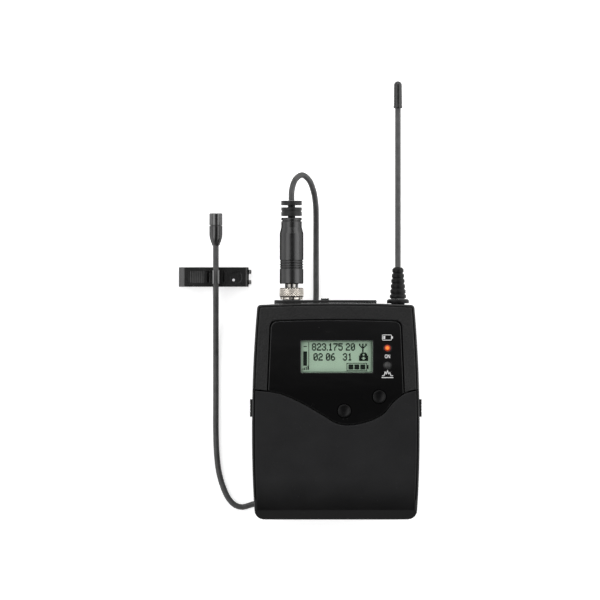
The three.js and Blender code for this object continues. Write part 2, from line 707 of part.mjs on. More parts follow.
function doorHingeEars() {
  const foot = Math.max(SPLIT_Z + 2 * GAP, TRAY_TOP + 3 * GAP);
  const ear = tab(EAR_RADIUS, HINGE_Y, HINGE_Z, foot);
  return [-1, 1].map((side) => slabX(ear, about(side * EAR_X, EAR_WIDTH)));
}

function frontFrame() {
  const half = CASE.intersect(block(EVERYWHERE, EVERYWHERE, [SPLIT_Z + GAP / 2, BIG]));
  const hollow = cut(half, CAVITY.intersect(block(EVERYWHERE, EVERYWHERE, [-BIG, DECK_Z + DECK_THICK / 2])));
  const doorRoom = belowSeam(SEAM_GAP / 2, [DOOR_SKIRT_Z - GAP - OVERRUN, BIG]);
  const swingRoom = barX(SWING_RADIUS + 2 * GAP, EVERYWHERE, HINGE_Y, HINGE_Z, 24);
  const walls = cut(hollow, doorRoom, swingRoom);
  const bulkhead = [BAY_TOP, BULKHEAD_TOP];
  const braceDepth = [SPLIT_Z + GAP / 2, DECK_Z + DECK_THICK - 2 * OVERRUN];
  const brace = block([-DECK_SIDE, DECK_SIDE], bulkhead, braceDepth);
  const sillSide = PACK_SIDE - WALL / 2;
  const sill = block([-sillSide, sillSide], bulkhead, [SPLIT_Z + GAP / 2, DOOR_SKIRT_Z - 3 * GAP]);
  const bosses = screwBosses([SPLIT_Z + GAP / 2, DECK_Z + OVERRUN]);
  const panelRoom = slabZ(panelOutline(SEAM_GAP), [DECK_Z + DECK_THICK, BIG], 6);
  const rim = cut(walls, panelRoom);
  const whole = join(rim, brace, sill, deck(), ...bosses, ...doorHingeEars());
  const module = [
    about(LCD_X, LCD_WIDTH + 2 * LCD_BORDER + 2 * GAP),
    about(LCD_Y, LCD_HEIGHT + 2 * LCD_BORDER + 2 * GAP),
  ];
  const flange = BUTTON_RADIUS + BUTTON_FLANGE + SLIDE_GAP;
  const throughDeck = [DECK_Z - 1, DECK_Z + DECK_THICK + OVERRUN];
  return cut(
    whole,
    ...topOpenings(),
    ...screwHoles([-BIG, SCREW_SINK + SCREW_LENGTH + GAP]),
    barX(HINGE_PIN_RADIUS + GAP, EVERYWHERE, HINGE_Y, HINGE_Z, 12),
    block(...module, [DECK_Z - 1, DECK_Z + DECK_THICK + 1]),
    ...[POWER_BUTTON, SET_BUTTON].map(([x, y]) => barZ(flange, throughDeck, x, y)),
    ...[POWER_LAMP_Y, PEAK_LAMP_Y].map((y) => barZ(LAMP_RADIUS + GAP, [DECK_Z - 1, BIG], LAMP_X, y, 16)),
    block(
      about(ROCKER_X, ROCKER_LENGTH + 2 * SLIDE_GAP),
      about(ROCKER_Y, ROCKER_WIDTH + 2 * SLIDE_GAP),
      [DECK_Z - 1, BIG],
    ),
  );
}

function caseScrew([x, y]) {
  const shank = barZ(SCREW_RADIUS, [SCREW_SINK + SCREW_HEAD_THICK / 2, SCREW_SINK + SCREW_LENGTH], x, y, 12);
  const head = barZ(SCREW_HEAD_RADIUS, [SCREW_SINK, SCREW_SINK + SCREW_HEAD_THICK], x, y, 16);
  const slots = [SCREW_SLOT, 1.4 * SCREW_HEAD_RADIUS];
  const recess = [SCREW_SINK - 1, SCREW_SINK + SCREW_HEAD_THICK / 2];
  return cut(
    head.add(shank),
    block(about(x, slots[0]), about(y, slots[1]), recess),
    block(about(x, slots[1]), about(y, slots[0]), recess),
  );
}

// ---------------------------------------------------------------- panel, window, lamps, controls

const PANEL_Z = [DECK_Z + DECK_THICK + GAP, PACK_DEPTH - PANEL_RECESS];

function displayPanel() {
  const sheet = slabZ(panelOutline(0), PANEL_Z, 6).intersect(aboveSeam(SEAM_GAP / 2, EVERYWHERE));
  return cut(
    sheet,
    block(about(LCD_X, LCD_WIDTH + 2 * GAP), about(LCD_Y, LCD_HEIGHT + 2 * GAP), EVERYWHERE),
    ...[POWER_BUTTON, SET_BUTTON].map(([x, y]) => barZ(BUTTON_RADIUS + SLIDE_GAP, EVERYWHERE, x, y)),
    ...[POWER_LAMP_Y, PEAK_LAMP_Y].map((y) => barZ(LAMP_RADIUS + GAP, EVERYWHERE, LAMP_X, y, 16)),
  );
}

function lcdLens() {
  const top = PANEL_Z[1] - WINDOW_RECESS;
  return block(about(LCD_X, LCD_WIDTH), about(LCD_Y, LCD_HEIGHT), [top - LCD_LENS_THICK, top]);
}

function lcdModule() {
  const width = LCD_WIDTH + 2 * LCD_BORDER;
  const height = LCD_HEIGHT + 2 * LCD_BORDER;
  const top = PANEL_Z[1] - WINDOW_RECESS - LCD_LENS_THICK - GAP;
  const shelf = block(about(LCD_X, width), about(LCD_Y, height), [BOARD_FACE + GAP, PANEL_Z[0] - GAP]);
  return shelf.add(block(about(LCD_X, LCD_WIDTH), about(LCD_Y, LCD_HEIGHT), [BOARD_FACE + GAP, top]));
}

function lamp(y) {
  return barZ(LAMP_RADIUS, [BOARD_FACE + GAP, PANEL_Z[1] - WINDOW_RECESS], LAMP_X, y, 16);
}

const SWITCH_TOP = BOARD_FACE + GAP + SWITCH_THICK;

function pushButton([x, y]) {
  const bottom = SWITCH_TOP + BUTTON_TRAVEL + GAP;
  const stem = barZ(BUTTON_RADIUS, [bottom, PACK_DEPTH + BUTTON_PROUD], x, y);
  const flange = [PANEL_Z[0] - GAP - BUTTON_FLANGE_THICK, PANEL_Z[0] - GAP];
  return stem.add(barZ(BUTTON_RADIUS + BUTTON_FLANGE, flange, x, y));
}

function tactSwitch([x, y]) {
  const base = [BOARD_FACE + GAP, BOARD_FACE + GAP + SWITCH_BASE * SWITCH_THICK];
  const body = block(about(x, SWITCH_SIZE), about(y, SWITCH_SIZE), base);
  return body.add(barZ(SWITCH_SIZE / 4, [base[0], SWITCH_TOP], x, y, 12));
}

const ROCKER_Z = [DECK_Z + DECK_THICK - ROCKER_THICK, DECK_Z + DECK_THICK];

function rockerKey() {
  const plate = block(about(ROCKER_X, ROCKER_LENGTH), about(ROCKER_Y, ROCKER_WIDTH), ROCKER_Z);
  const dishZ = ROCKER_Z[1] + ROCKER_LENGTH - ROCKER_DISH;
  const dish = barY(ROCKER_LENGTH, about(ROCKER_Y, BIG), ROCKER_X, dishZ, 48);
  return plate.subtract(dish);
}

function rockerPad() {
  const depths = [BOARD_FACE + GAP, BOARD_FACE + GAP + ROCKER_PAD_THICK];
  return block(about(ROCKER_X, ROCKER_LENGTH), about(ROCKER_Y, ROCKER_WIDTH), depths);
}

// ---------------------------------------------------------------- electronics and batteries

function mainBoard() {
  const side = PACK_SIDE - BOARD_SIDE;
  const board = block([-side, side], [BOARD_BOTTOM, BOARD_TOP], [BOARD_Z, BOARD_FACE]);
  return cut(board, ...screwHoles(EVERYWHERE, SCREW_RADIUS + 3 * GAP + BOSS_WALL));
}

function shieldCan() {
  const top = BOARD_Z - GAP;
  return block(about(SHIELD_X, SHIELD_WIDTH), about(SHIELD_Y, SHIELD_HEIGHT), [top - SHIELD_THICK, top]);
}

const CELL_SIDE = CELL_LENGTH / 2;

// A cell lying across the case, with its positive nub towards one side.
function cell(y, side) {
  const can = new THREE.LatheGeometry([
    [0, -CELL_SIDE], [CELL_RADIUS - CELL_CHAMFER, -CELL_SIDE], [CELL_RADIUS, -CELL_SIDE + CELL_CHAMFER],
    [CELL_RADIUS, CELL_SIDE - CELL_NUB - CELL_CHAMFER], [CELL_RADIUS - CELL_CHAMFER, CELL_SIDE - CELL_NUB],
    [CELL_NUB_RADIUS, CELL_SIDE - CELL_NUB], [CELL_NUB_RADIUS, CELL_SIDE], [0, CELL_SIDE],
  ].map(([r, h]) => new THREE.Vector2(r, h)), 20);
  return toSolid(can.rotateZ((-side * Math.PI) / 2).translate(0, y, CELL_Z));
}

// A contact plate at one end of the cells, with a bump towards each cell that it touches.
function contact(side, cellHeights) {
  const inner = CELL_SIDE + GAP + CONTACT_BUMP;
  const range = sided(side, inner, inner + CONTACT_THICK);
  const low = Math.min(...cellHeights) - CONTACT_SIZE / 2;
  const high = Math.max(...cellHeights) + CONTACT_SIZE / 2;
  const plate = block(range, [low, high], about(CELL_Z, CONTACT_SIZE));
  const bumps = cellHeights.map((y) => {
    const cone = new THREE.CylinderGeometry(CONTACT_BUMP_RADIUS / 2, CONTACT_BUMP_RADIUS, CONTACT_BUMP, 12);
    const middle = side * (inner - CONTACT_BUMP / 2);
    return toSolid(cone.rotateZ((side * Math.PI) / 2).translate(middle, y, CELL_Z));
  });
  return join(plate, ...bumps);
}

function batteryTray() {
  const side = CELL_SIDE + 2 * GAP + CONTACT_BUMP + CONTACT_THICK + TRAY_WALL;
  const floor = WALL + GAP;
  const tray = block([-side, side], [WALL + 2 * GAP, BAY_TOP - GAP], [floor, TRAY_TOP])
    .intersect(slabZ(packOutline(WALL + GAP), EVERYWHERE));
  const room = side - TRAY_WALL;
  const reach = [-CELL_SIDE - GAP, CELL_SIDE + GAP];
  const grooves = [CELL_LOW_Y, CELL_HIGH_Y].map((y) => barX(CELL_RADIUS + GAP, reach, y, CELL_Z, 24));
  const pockets = [-1, 1].map((end) => {
    const range = sided(end, CELL_SIDE - CELL_CHAMFER, room);
    const depths = [CELL_Z - CONTACT_SIZE / 2 - GAP, BIG];
    const low = CELL_LOW_Y - CONTACT_SIZE / 2 - GAP;
    const high = CELL_HIGH_Y + CONTACT_SIZE / 2 + GAP;
    return block(range, [low, high], depths);
  });
  return cut(tray, ...grooves, ...pockets);
}

// ---------------------------------------------------------------- battery door

function batteryDoor() {
  const depths = [DOOR_SKIRT_Z, BIG];
  const outer = CASE.intersect(belowSeam(-SEAM_GAP / 2, depths));
  const heelTop = HINGE_Y + KNUCKLE_RADIUS - GAP / 2;
  const room = slabZ(packOutline(WALL), [-BIG, PACK_DEPTH - WALL])
    .intersect(block(EVERYWHERE, [heelTop - GAP / 2, BIG], EVERYWHERE));
  const heel = block(EVERYWHERE, [-BIG, heelTop], [-BIG, HINGE_Z + GAP])
    .subtract(barX(KNUCKLE_RADIUS, EVERYWHERE, HINGE_Y, HINGE_Z, 24));
  const catchHoles = [-1, 1].map((side) => {
    const along = about(CATCH_Y, CATCH_LENGTH + 2 * SLIDE_GAP);
    return block(sided(side, PACK_SIDE / 2, BIG), along, about(CATCH_Z, CATCH_WIDTH + 2 * SLIDE_GAP));
  });
  const earRoom = [-1, 1].map((side) => {
    const range = about(side * EAR_X, EAR_WIDTH + 2 * GAP);
    const turning = [[-BIG, HINGE_Y], [-BIG, HINGE_Z + EAR_RADIUS + GAP]];
    return block(range, ...turning).add(slabX(tab(EAR_RADIUS + GAP, HINGE_Y, HINGE_Z, 0), range));
  });
  return cut(
    outer,
    room,
    heel,
    ...catchHoles,
    ...earRoom,
    barX(HINGE_PIN_RADIUS + GAP, EVERYWHERE, HINGE_Y, HINGE_Z, 12),
  );
}

function doorHingePin() {
  const half = PACK_SIDE - BOTTOM_DRAW - WALL;
  return barX(HINGE_PIN_RADIUS, [-half, half], HINGE_Y, HINGE_Z, 12);
}

// A release tab in the door's side: a bar through the skirt with a flange inside it.
function sideCatch(side) {
  const flangeOut = PACK_SIDE - WALL - SLIDE_GAP - 0.15;
  const flangeIn = flangeOut - CATCH_FLANGE;
  const bar = block(
    sided(side, flangeIn, PACK_SIDE + CATCH_PROUD),
    about(CATCH_Y, CATCH_LENGTH),
    about(CATCH_Z, CATCH_WIDTH),
  );
  const flange = block(
    sided(side, flangeIn, flangeOut),
    about(CATCH_Y, CATCH_LENGTH + 2 * CATCH_FLANGE),
    about(CATCH_Z, CATCH_WIDTH + CATCH_FLANGE),
  );
  return bar.add(flange);
}

// ---------------------------------------------------------------- top of the case

function topPlate() {
  const across = about(TOP_PLATE_X, TOP_PLATE_LENGTH);
  const outline = roundedRectangle(across, about(AXIS_Z, TOP_PLATE_DEPTH), TOP_PLATE_RADIUS);
  const plate = slabY(outline, [PACK_HEIGHT - WALL, TOP_PLATE_Y]);
  return cut(plate, slabZ(packOutline(-GAP), EVERYWHERE), ...topOpenings());
}

function muteSlider() {
  const foot = [PACK_HEIGHT - WALL - SLIDER_FOOT - GAP, PACK_HEIGHT - WALL - GAP];
  const knob = block(
    about(SLIDER_X, SLIDER_LENGTH),
    [foot[0], TOP_PLATE_Y + SLIDER_PROUD],
    about(AXIS_Z, SLIDER_DEPTH),
  );
  const base = block(
    about(SLIDER_X, SLIDER_LENGTH + 2 * SLIDER_FOOT),
    foot,
    about(AXIS_Z, SLIDER_DEPTH + 2 * SLIDER_FOOT),
  );
  return knob.add(base);
}

function muteSwitch() {
  const top = PACK_HEIGHT - WALL - SLIDER_FOOT - 2 * GAP;
  const length = SLIDER_LENGTH + SLIDER_TRAVEL + SLIDER_FOOT;
  return block(
    about(SLIDER_X + SLIDER_TRAVEL / 2, length),
    [top - MUTE_SWITCH_HEIGHT, top],
    about(AXIS_Z, MUTE_SWITCH_DEPTH),
  );
}

// The jack: a body inside the case, and a threaded collar through its top.
function jackSocket() {
  const top = PACK_HEIGHT - WALL - GAP;
  const bottom = top - JACK_BODY_LENGTH;
  const bore = CONTACT_PIN_RADIUS + GAP;
  const chamber = SLEEVE_RADIUS + GAP;
  const step = NUT_BOTTOM - 2 * GAP;
  return turned([
    [0, bottom], [JACK_BODY_RADIUS, bottom], [JACK_BODY_RADIUS, top], [JACK_THREAD_RADIUS, top],
    [JACK_THREAD_RADIUS, JACK_THREAD_END], [chamber, JACK_THREAD_END], [chamber, step],
    [bore, step], [bore, bottom + 0.6], [0, bottom + 0.6],
  ], JACK_X, AXIS_Z);
}

function jackLocknut() {
  const range = [LOCKNUT_BOTTOM, LOCKNUT_BOTTOM + LOCKNUT_THICK];
  const ring = barY(LOCKNUT_RADIUS, range, JACK_X, AXIS_Z);
  return ring.subtract(barY(JACK_THREAD_RADIUS + GAP, EVERYWHERE, JACK_X, AXIS_Z));
}

// ---------------------------------------------------------------- plug

function plugContactPin() {
  const top = PLUG_BOTTOM + 2;
  const shoulder = JACK_THREAD_END;
  const point = shoulder - CONTACT_PIN_LENGTH;
  return turned([
    [0, point], [CONTACT_PIN_RADIUS / 2, point], [CONTACT_PIN_RADIUS, point + CONTACT_PIN_POINT],
    [CONTACT_PIN_RADIUS, top], [0, top],
  ], JACK_X, AXIS_Z, 16);
}

// Bright sleeve between the plug's body and its nut.
function plugSleeve() {
  const bore = CONTACT_PIN_RADIUS + GAP;
  const range = [JACK_THREAD_END - 2, PLUG_BOTTOM - GAP];
  return barY(SLEEVE_RADIUS, range, JACK_X, AXIS_Z, 20).subtract(barY(bore, EVERYWHERE, JACK_X, AXIS_Z, 16));
}

function knurledNut() {
  const outline = polygon(circlePoints(1, 2 * NUT_KNURLS).map(([x, z], i) => {
    const radius = i % 2 === 0 ? NUT_RADIUS : NUT_RADIUS - KNURL_DEPTH;
    return [JACK_X + radius * x, AXIS_Z + radius * z];
  }));
  const nut = slabY(outline, [NUT_BOTTOM, NUT_BOTTOM + NUT_LENGTH]);
  const thread = [NUT_BOTTOM - 1, NUT_BOTTOM + NUT_LENGTH - NUT_LIP];
  return cut(
    nut,
    barY(JACK_THREAD_RADIUS + GAP, thread, JACK_X, AXIS_Z),
    barY(SLEEVE_RADIUS + GAP, EVERYWHERE, JACK_X, AXIS_Z, 20),
  );
}

function plugBody() {
  const top = PLUG_BOTTOM + PLUG_LENGTH;
  const neck = top - PLUG_NECK_LENGTH;
  const bore = CONTACT_PIN_RADIUS + GAP;
  const grooves = Array.from({ length: PLUG_GROOVES }, (_, i) => {
    const middle = PLUG_GROOVE_Y - i * PLUG_GROOVE_PITCH;
    const half = PLUG_GROOVE_PITCH / 4;
    const floor = PLUG_RADIUS - PLUG_GROOVE_DEPTH;
    return [
      [PLUG_RADIUS, middle + half], [floor, middle + half],
      [floor, middle - half], [PLUG_RADIUS, middle - half],
    ];
  }).flat();
  const stemRoom = RELIEF_CORE_RADIUS + GAP;
  return turned([
    [bore, PLUG_BOTTOM], [PLUG_RADIUS - PLUG_EDGE, PLUG_BOTTOM], [PLUG_RADIUS, PLUG_BOTTOM + PLUG_EDGE],
    ...grooves.reverse(),
    [PLUG_RADIUS, neck - PLUG_SHOULDER], [PLUG_NECK_RADIUS, neck], [PLUG_NECK_RADIUS, top],
    [stemRoom, top], [stemRoom, top - RELIEF_STEM - GAP],
    [bore, top - RELIEF_STEM - GAP], [bore, PLUG_BOTTOM],
  ], JACK_X, AXIS_Z);
}

// Rubber strain relief: discs on a core, the last one round the cable.
function plugRelief() {
  const pitch = (RELIEF_LENGTH - RELIEF_DISC_THICK) / (RELIEF_DISCS - 1);
  const discs = Array.from({ length: RELIEF_DISCS }, (_, i) => {
    const start = RELIEF_BOTTOM + GAP + i * (pitch - GAP / RELIEF_DISCS);
    const [r, edge] = [RELIEF_RADIUS, RELIEF_EDGE];
    return [
      [RELIEF_CORE_RADIUS, start], [r - edge, start], [r, start + edge],
      [r, start + RELIEF_DISC_THICK - edge], [r - edge, start + RELIEF_DISC_THICK],
      [RELIEF_CORE_RADIUS, start + RELIEF_DISC_THICK],
    ];
  }).flat();
  const top = discs.at(-1)[1];
  return turned([
    [0, RELIEF_BOTTOM - RELIEF_STEM], [RELIEF_CORE_RADIUS, RELIEF_BOTTOM - RELIEF_STEM], ...discs, [0, top],
  ], JACK_X, AXIS_Z);
}

// ---------------------------------------------------------------- antenna

function antennaBase() {
  const top = BASE_BOTTOM + BASE_THICK;
  return turned([
    [0, BASE_BOTTOM - STUD_LENGTH], [STUD_RADIUS, BASE_BOTTOM - STUD_LENGTH], [STUD_RADIUS, BASE_BOTTOM],
    [BASE_RADIUS, BASE_BOTTOM], [BASE_RADIUS, top - BASE_EDGE], [BASE_RADIUS - BASE_EDGE, top], [0, top],
  ], ANTENNA_X, AXIS_Z, 20);
}

// Rubber boot: ribs that grow towards the case, with a bore for the rod.
function antennaBoot() {
  const pitch = (BOOT_TOP - BOOT_BOTTOM) / BOOT_RIBS;
  const ribs = Array.from({ length: BOOT_RIBS }, (_, i) => {
    const share = i / (BOOT_RIBS - 1);
    const radius = BOOT_BOTTOM_RADIUS + (BOOT_TOP_RADIUS - BOOT_BOTTOM_RADIUS) * share;
    const start = BOOT_BOTTOM + i * pitch;
    return [
      [radius, start], [radius, start + 0.6 * pitch],
      [radius - BOOT_GROOVE, start + 0.75 * pitch], [radius - BOOT_GROOVE, start + 0.95 * pitch],
    ];
  }).flat();
  const bore = ROD_RADIUS + GAP;
  return turned([
    [0, BOOT_BOTTOM], ...ribs, [bore, BOOT_TOP - 0.3], [bore, BOOT_BOTTOM + 1], [0, BOOT_BOTTOM + 1],
  ], ANTENNA_X, AXIS_Z, 16);
}

function antennaRod() {
  return barY(ROD_RADIUS, [BOOT_BOTTOM + 1 + GAP, ANTENNA_TOP - 2], ANTENNA_X, AXIS_Z, 16);
}

function antennaTip() {
  const bottom = ANTENNA_TOP - TIP_LENGTH;
  const bore = ROD_RADIUS + GAP;
  const crown = TIP_NECK_RADIUS;
  return turned([
    [bore, bottom], [TIP_RADIUS, bottom], [TIP_RADIUS, bottom + 1], [crown, ANTENNA_TOP - crown],
    [0.86 * crown, ANTENNA_TOP - 0.5 * crown], [0.5 * crown, ANTENNA_TOP - 0.13 * crown], [0, ANTENNA_TOP],
    [0, ANTENNA_TOP - 2 + GAP], [bore, ANTENNA_TOP - 2 + GAP], [bore, bottom],
  ], ANTENNA_X, AXIS_Z, 16);
}

// ---------------------------------------------------------------- belt clip

// A path of straight lines whose corners are rounded.
function roundedPath(corners, bend) {
  const path = new THREE.CurvePath();
  let from = corners[0];
  corners.slice(1, -1).forEach((corner, i) => {
    const before = corner.clone().lerp(from, bend / corner.distanceTo(from));
    const after = corner.clone().lerp(corners[i + 2], bend / corner.distanceTo(corners[i + 2]));
    path.add(new THREE.LineCurve3(from, before));
    path.add(new THREE.QuadraticBezierCurve3(before, corner, after));
    from = after;
  });
  path.add(new THREE.LineCurve3(from, corners.at(-1)));
  return path;
}

// One wire: an end in each lug, two bowed arms and a crossbar that rests against the case's back.
function beltClip() {
  const side = [
    [CLIP_HALF - CLIP_END, CLIP_PIVOT_Y, -CLIP_PIVOT_DROP],
    [CLIP_HALF, CLIP_PIVOT_Y, -CLIP_PIVOT_DROP],
    [CLIP_HALF, CLIP_PIVOT_Y - CLIP_SLOPE, -CLIP_BOW],
    [CLIP_HALF, CLIP_TIP_Y + CLIP_SLOPE, -CLIP_BOW],
    [CLIP_HALF, CLIP_TIP_Y, -WIRE_RADIUS - GAP],
  ];
  const right = side.map(([x, y, z]) => new THREE.Vector3(x, y, z));
  const left = side.map(([x, y, z]) => new THREE.Vector3(-x, y, z)).reverse();
  return tubeThrough(roundedPath([...right, ...left], CLIP_BEND).getPoints(3), WIRE_RADIUS, CABLE_SIDES);
}

// ---------------------------------------------------------------- microphone

const CAPSULE_RADIUS = MIC_RADIUS - MIC_WALL - GAP;

function micCap() {
  const bore = MIC_RADIUS - MIC_WALL;
  const bottom = MIC_SEAM + GAP / 2;
  return turned([
    [bore, bottom], [MIC_RADIUS, bottom],
    [MIC_RADIUS, MIC_TOP - MIC_EDGE], [MIC_RADIUS - MIC_EDGE, MIC_TOP],
    [MIC_MOUTH_RADIUS, MIC_TOP], [MIC_MOUTH_RADIUS, MIC_TOP - MIC_WALL],
    [bore, MIC_TOP - MIC_WALL], [bore, bottom],
  ], 0, 0);
}

function micScreen() {
  const top = MIC_TOP - MIC_WALL - 0.1;
  return barY(MIC_RADIUS - MIC_WALL - 0.2, [top - SCREEN_THICK, top], 0, 0);
}

function micCapsule() {
  const top = MIC_TOP - MIC_WALL - SCREEN_THICK - 2 * GAP;
  return barY(CAPSULE_RADIUS, [top - CAPSULE_LENGTH, top], 0, 0, 20);
}

const MIC_END = MIC_TAIL - MIC_RELIEF_LENGTH;

function micHousing() {
  const top = MIC_SEAM - GAP / 2;
  const bore = CABLE_RADIUS + GAP;
  const chamber = MIC_RADIUS - MIC_WALL;
  return turned([
    [bore, MIC_TAIL], [MIC_TAIL_RADIUS, MIC_TAIL], [MIC_RADIUS, MIC_TAPER_TOP], [MIC_RADIUS, top],
    [chamber, top], [chamber, MIC_TAPER_TOP + 1], [bore, MIC_TAPER_TOP], [bore, MIC_TAIL],
  ], 0, 0);
}

// The grommet at the microphone's tail, with a stem inside it.
function micRelief() {
  return turned([
    [0, MIC_END], [MIC_TAIL_RADIUS - 0.1, MIC_END], [MIC_TAIL_RADIUS, MIC_TAIL - GAP],
    [CABLE_RADIUS, MIC_TAIL - GAP], [CABLE_RADIUS, MIC_TAPER_TOP], [0, MIC_TAPER_TOP],
  ], 0, 0, 20);
}

// ---------------------------------------------------------------- tie clip

// The clip's frame: x from the cable's middle, y from the clip's middle, z from the table.
const JAW_HALF = JAW_WIDTH / 2;
const FRONT_Z = [SHEET + JAW_GAP, 2 * SHEET + JAW_GAP];
const JAW_PIN_Z = SHEET + JAW_GAP / 2;
const JAW_ACROSS = [-JAW_HALF, JAW_HALF];

function jawSlots() {
  return [-SLOT_X, SLOT_X].map((x) => block(about(x, SLOT_WIDTH), about(0, SLOT_LENGTH), EVERYWHERE));
}

// A pair of ears that hold the pin, reaching from a sheet to just round it.
function jawEars(outer, sheet) {
  const ear = tab(JAW_EAR_RADIUS, JAW_PIN_X, JAW_PIN_Z, sheet);
  return [-1, 1].map((side) => slabY(ear, about(side * (outer - JAW_EAR / 2), JAW_EAR)));
}

function frontJaw() {
  const [low, high] = FRONT_Z;
  const bite = SHEET + GAP;
  const sheet = polygon([
    [-JAW_LEFT + JAW_CURL, low], [BITE_X, low], [JAW_RIGHT - SHEET, bite + 0.6], [JAW_RIGHT - SHEET, bite],
    [JAW_RIGHT, bite], [JAW_RIGHT, bite + 1.2], [BITE_X + 0.6, high], [-JAW_LEFT + JAW_CURL, high],
  ]);
  const curl = barY(JAW_CURL, JAW_ACROSS, -JAW_LEFT + JAW_CURL, low + JAW_CURL, 12);
  const whole = join(slabY(sheet, JAW_ACROSS), curl, ...jawEars(JAW_HALF, low + SHEET / 2));
  return cut(
    whole,
    ...jawSlots(),
    barY(JAW_PIN_RADIUS + GAP, EVERYWHERE, JAW_PIN_X, JAW_PIN_Z, 12),
    barZ(RIVET_RADIUS + GAP, EVERYWHERE, 0, 0, 12),
    barZ(EYE_RADIUS, EVERYWHERE, EYE_X, EYE_Y, 10),
  );
}

function rearJaw() {
  const tip = JAW_RIGHT + GAP;
  const plate = block([-JAW_LEFT, tip + SHEET], JAW_ACROSS, [0, SHEET]);
  const edge = block([tip, tip + SHEET], JAW_ACROSS, [0, SHEET + PRONG_HEIGHT]);
  const between = [-1, 0, 1].map((step) => {
    return block([tip - GAP, BIG], about(step * 2 * PRONG_Y, 2 * PRONG_Y - PRONG), EVERYWHERE);
  });
  const ears = jawEars(JAW_HALF - JAW_EAR - GAP, SHEET / 2);
  const bore = barY(JAW_PIN_RADIUS + GAP, EVERYWHERE, JAW_PIN_X, JAW_PIN_Z, 12);
  const eye = barZ(EYE_RADIUS, EVERYWHERE, EYE_X, EYE_Y, 10);
  return cut(join(plate, edge, ...ears), ...between, bore, eye);
}

function jawPin() {
  return barY(JAW_PIN_RADIUS, JAW_ACROSS, JAW_PIN_X, JAW_PIN_Z, 12);
}

function jawSpring() {
  const steps = SPRING_CURLS * 8;
  const start = (-SPRING_CURLS * SPRING_PITCH) / 2;
  const points = Array.from({ length: steps + 1 }, (_, i) => {
    const angle = (2 * Math.PI * i) / 8;
    const along = start + (SPRING_PITCH * i) / 8;
    return new THREE.Vector3(
      JAW_PIN_X + SPRING_RADIUS * Math.cos(angle),
      along,
      JAW_PIN_Z + SPRING_RADIUS * Math.sin(angle),
    );
  });
  return tubeThrough(points, SPRING_WIRE, 5);
}

function cableHolder() {
  const outer = HOLDER_BORE + HOLDER_WALL;
  const along = about(0, HOLDER_LENGTH);
  const ring = barY(outer, along, 0, CABLE_RISE, 20);
  const foot = FRONT_Z[1] + GAP;
  const base = block(about(0, HOLDER_FOOT), along, [foot, foot + HOLDER_FOOT_THICK]);
  const neck = block(about(0, outer), along, [foot, CABLE_RISE]);
  const rivet = barZ(RIVET_RADIUS, [FRONT_Z[0] - GAP, foot + 2 * OVERRUN], 0, 0, 12);
  return cut(
    join(ring, base, neck, rivet),
    barY(HOLDER_BORE, EVERYWHERE, 0, CABLE_RISE, 16),
    block(about(0, HOLDER_MOUTH), EVERYWHERE, [CABLE_RISE, BIG]),
  );
}

// ---------------------------------------------------------------- cable

const COIL_CENTRE = new THREE.Vector3(PACK_X, PACK_Y + COIL_Y, LYING_Z);

// The middle line of the stowed coil. It winds in and out again, layer upon layer, and climbs a
// layer in the half turn where the spiral reverses. Both ends run straight for one cable diameter.
function coilPoints() {
  const turnsPerLayer = COIL_TURNS / COIL_LAYERS;
  const points = [];
  for (let step = 0; step <= COIL_TURNS * LOOP_STEPS; step += 1) {
    const turn = step / LOOP_STEPS;
    const wave = (turn / turnsPerLayer) % 2;
    const radius = COIL_INNER + (COIL_OUTER - COIL_INNER) * Math.abs(1 - wave);
    let layer = 0;
    for (let climb = 1; climb < COIL_LAYERS; climb += 1) {
      const start = climb * turnsPerLayer - 0.25;
      layer += Math.min(Math.max((turn - start) / 0.5, 0), 1);
    }
    const angle = Math.PI - 2 * Math.PI * turn;
    points.push(new THREE.Vector3(
      COIL_CENTRE.x + radius * Math.cos(angle),
      COIL_CENTRE.y + radius * Math.sin(angle),
      COIL_CENTRE.z + layer * COIL_PITCH,
    ));
  }
  const straight = new THREE.Vector3(0, 2 * CABLE_RADIUS, 0);
  return [points[0].clone().sub(straight), ...points, points.at(-1).clone().add(straight)];
}

const COIL_POINTS = coilPoints();
console.log(`least gap in the coil: ${leastGap(COIL_POINTS, CABLE_RADIUS, LOOP_STEPS).toFixed(2)} mm`);

function cableCoil() {
  return tubeThrough(COIL_POINTS, CABLE_RADIUS, LOOP_SIDES);
}

function cableAlong(points) {
  const path = new THREE.CatmullRomCurve3(points, false, 'centripetal');
  path.arcLengthDivisions = 600;
  return tubeAlong(path, CABLE_RADIUS, CABLE_SIDES, Math.round(path.getLength() / CABLE_STEP));
}

// From the microphone through its holder, down to the table, and under the case to the coil.
function cableMicSide() {
  const end = COIL_POINTS[0];
  return cableAlong([
    [MIC_X, MIC_END - GAP, CABLE_RISE], [MIC_X, 14, CABLE_RISE],
    [MIC_X, 8, CABLE_RISE], [MIC_X, 4.5, CABLE_RISE], [MIC_X, -4, 5.6], [MIC_X, -13, 2.9],
    [MIC_X, -24, 1.3], [MIC_X, -38, LYING_Z], [MIC_X, -50, LYING_Z],
    [-31.9, -58.5, LYING_Z], [-31.1, -65.5, LYING_Z], [-29.4, -71.6, LYING_Z], [-27.3, -76, LYING_Z],
    [-24.8, -78.5, LYING_Z], [-22, -79.2, LYING_Z], [-18, -78.1, LYING_Z], [-14, -77.5, LYING_Z],
    [-9.8, -77.5, LYING_Z], [-6.6, -76, LYING_Z], [-4.9, -73, LYING_Z], [end.x, -68, LYING_Z],
    [end.x, -61, LYING_Z], [end.x, end.y - GAP - 2, LYING_Z], [end.x, end.y - GAP, LYING_Z],
  ].map((point) => new THREE.Vector3(...point)));
}

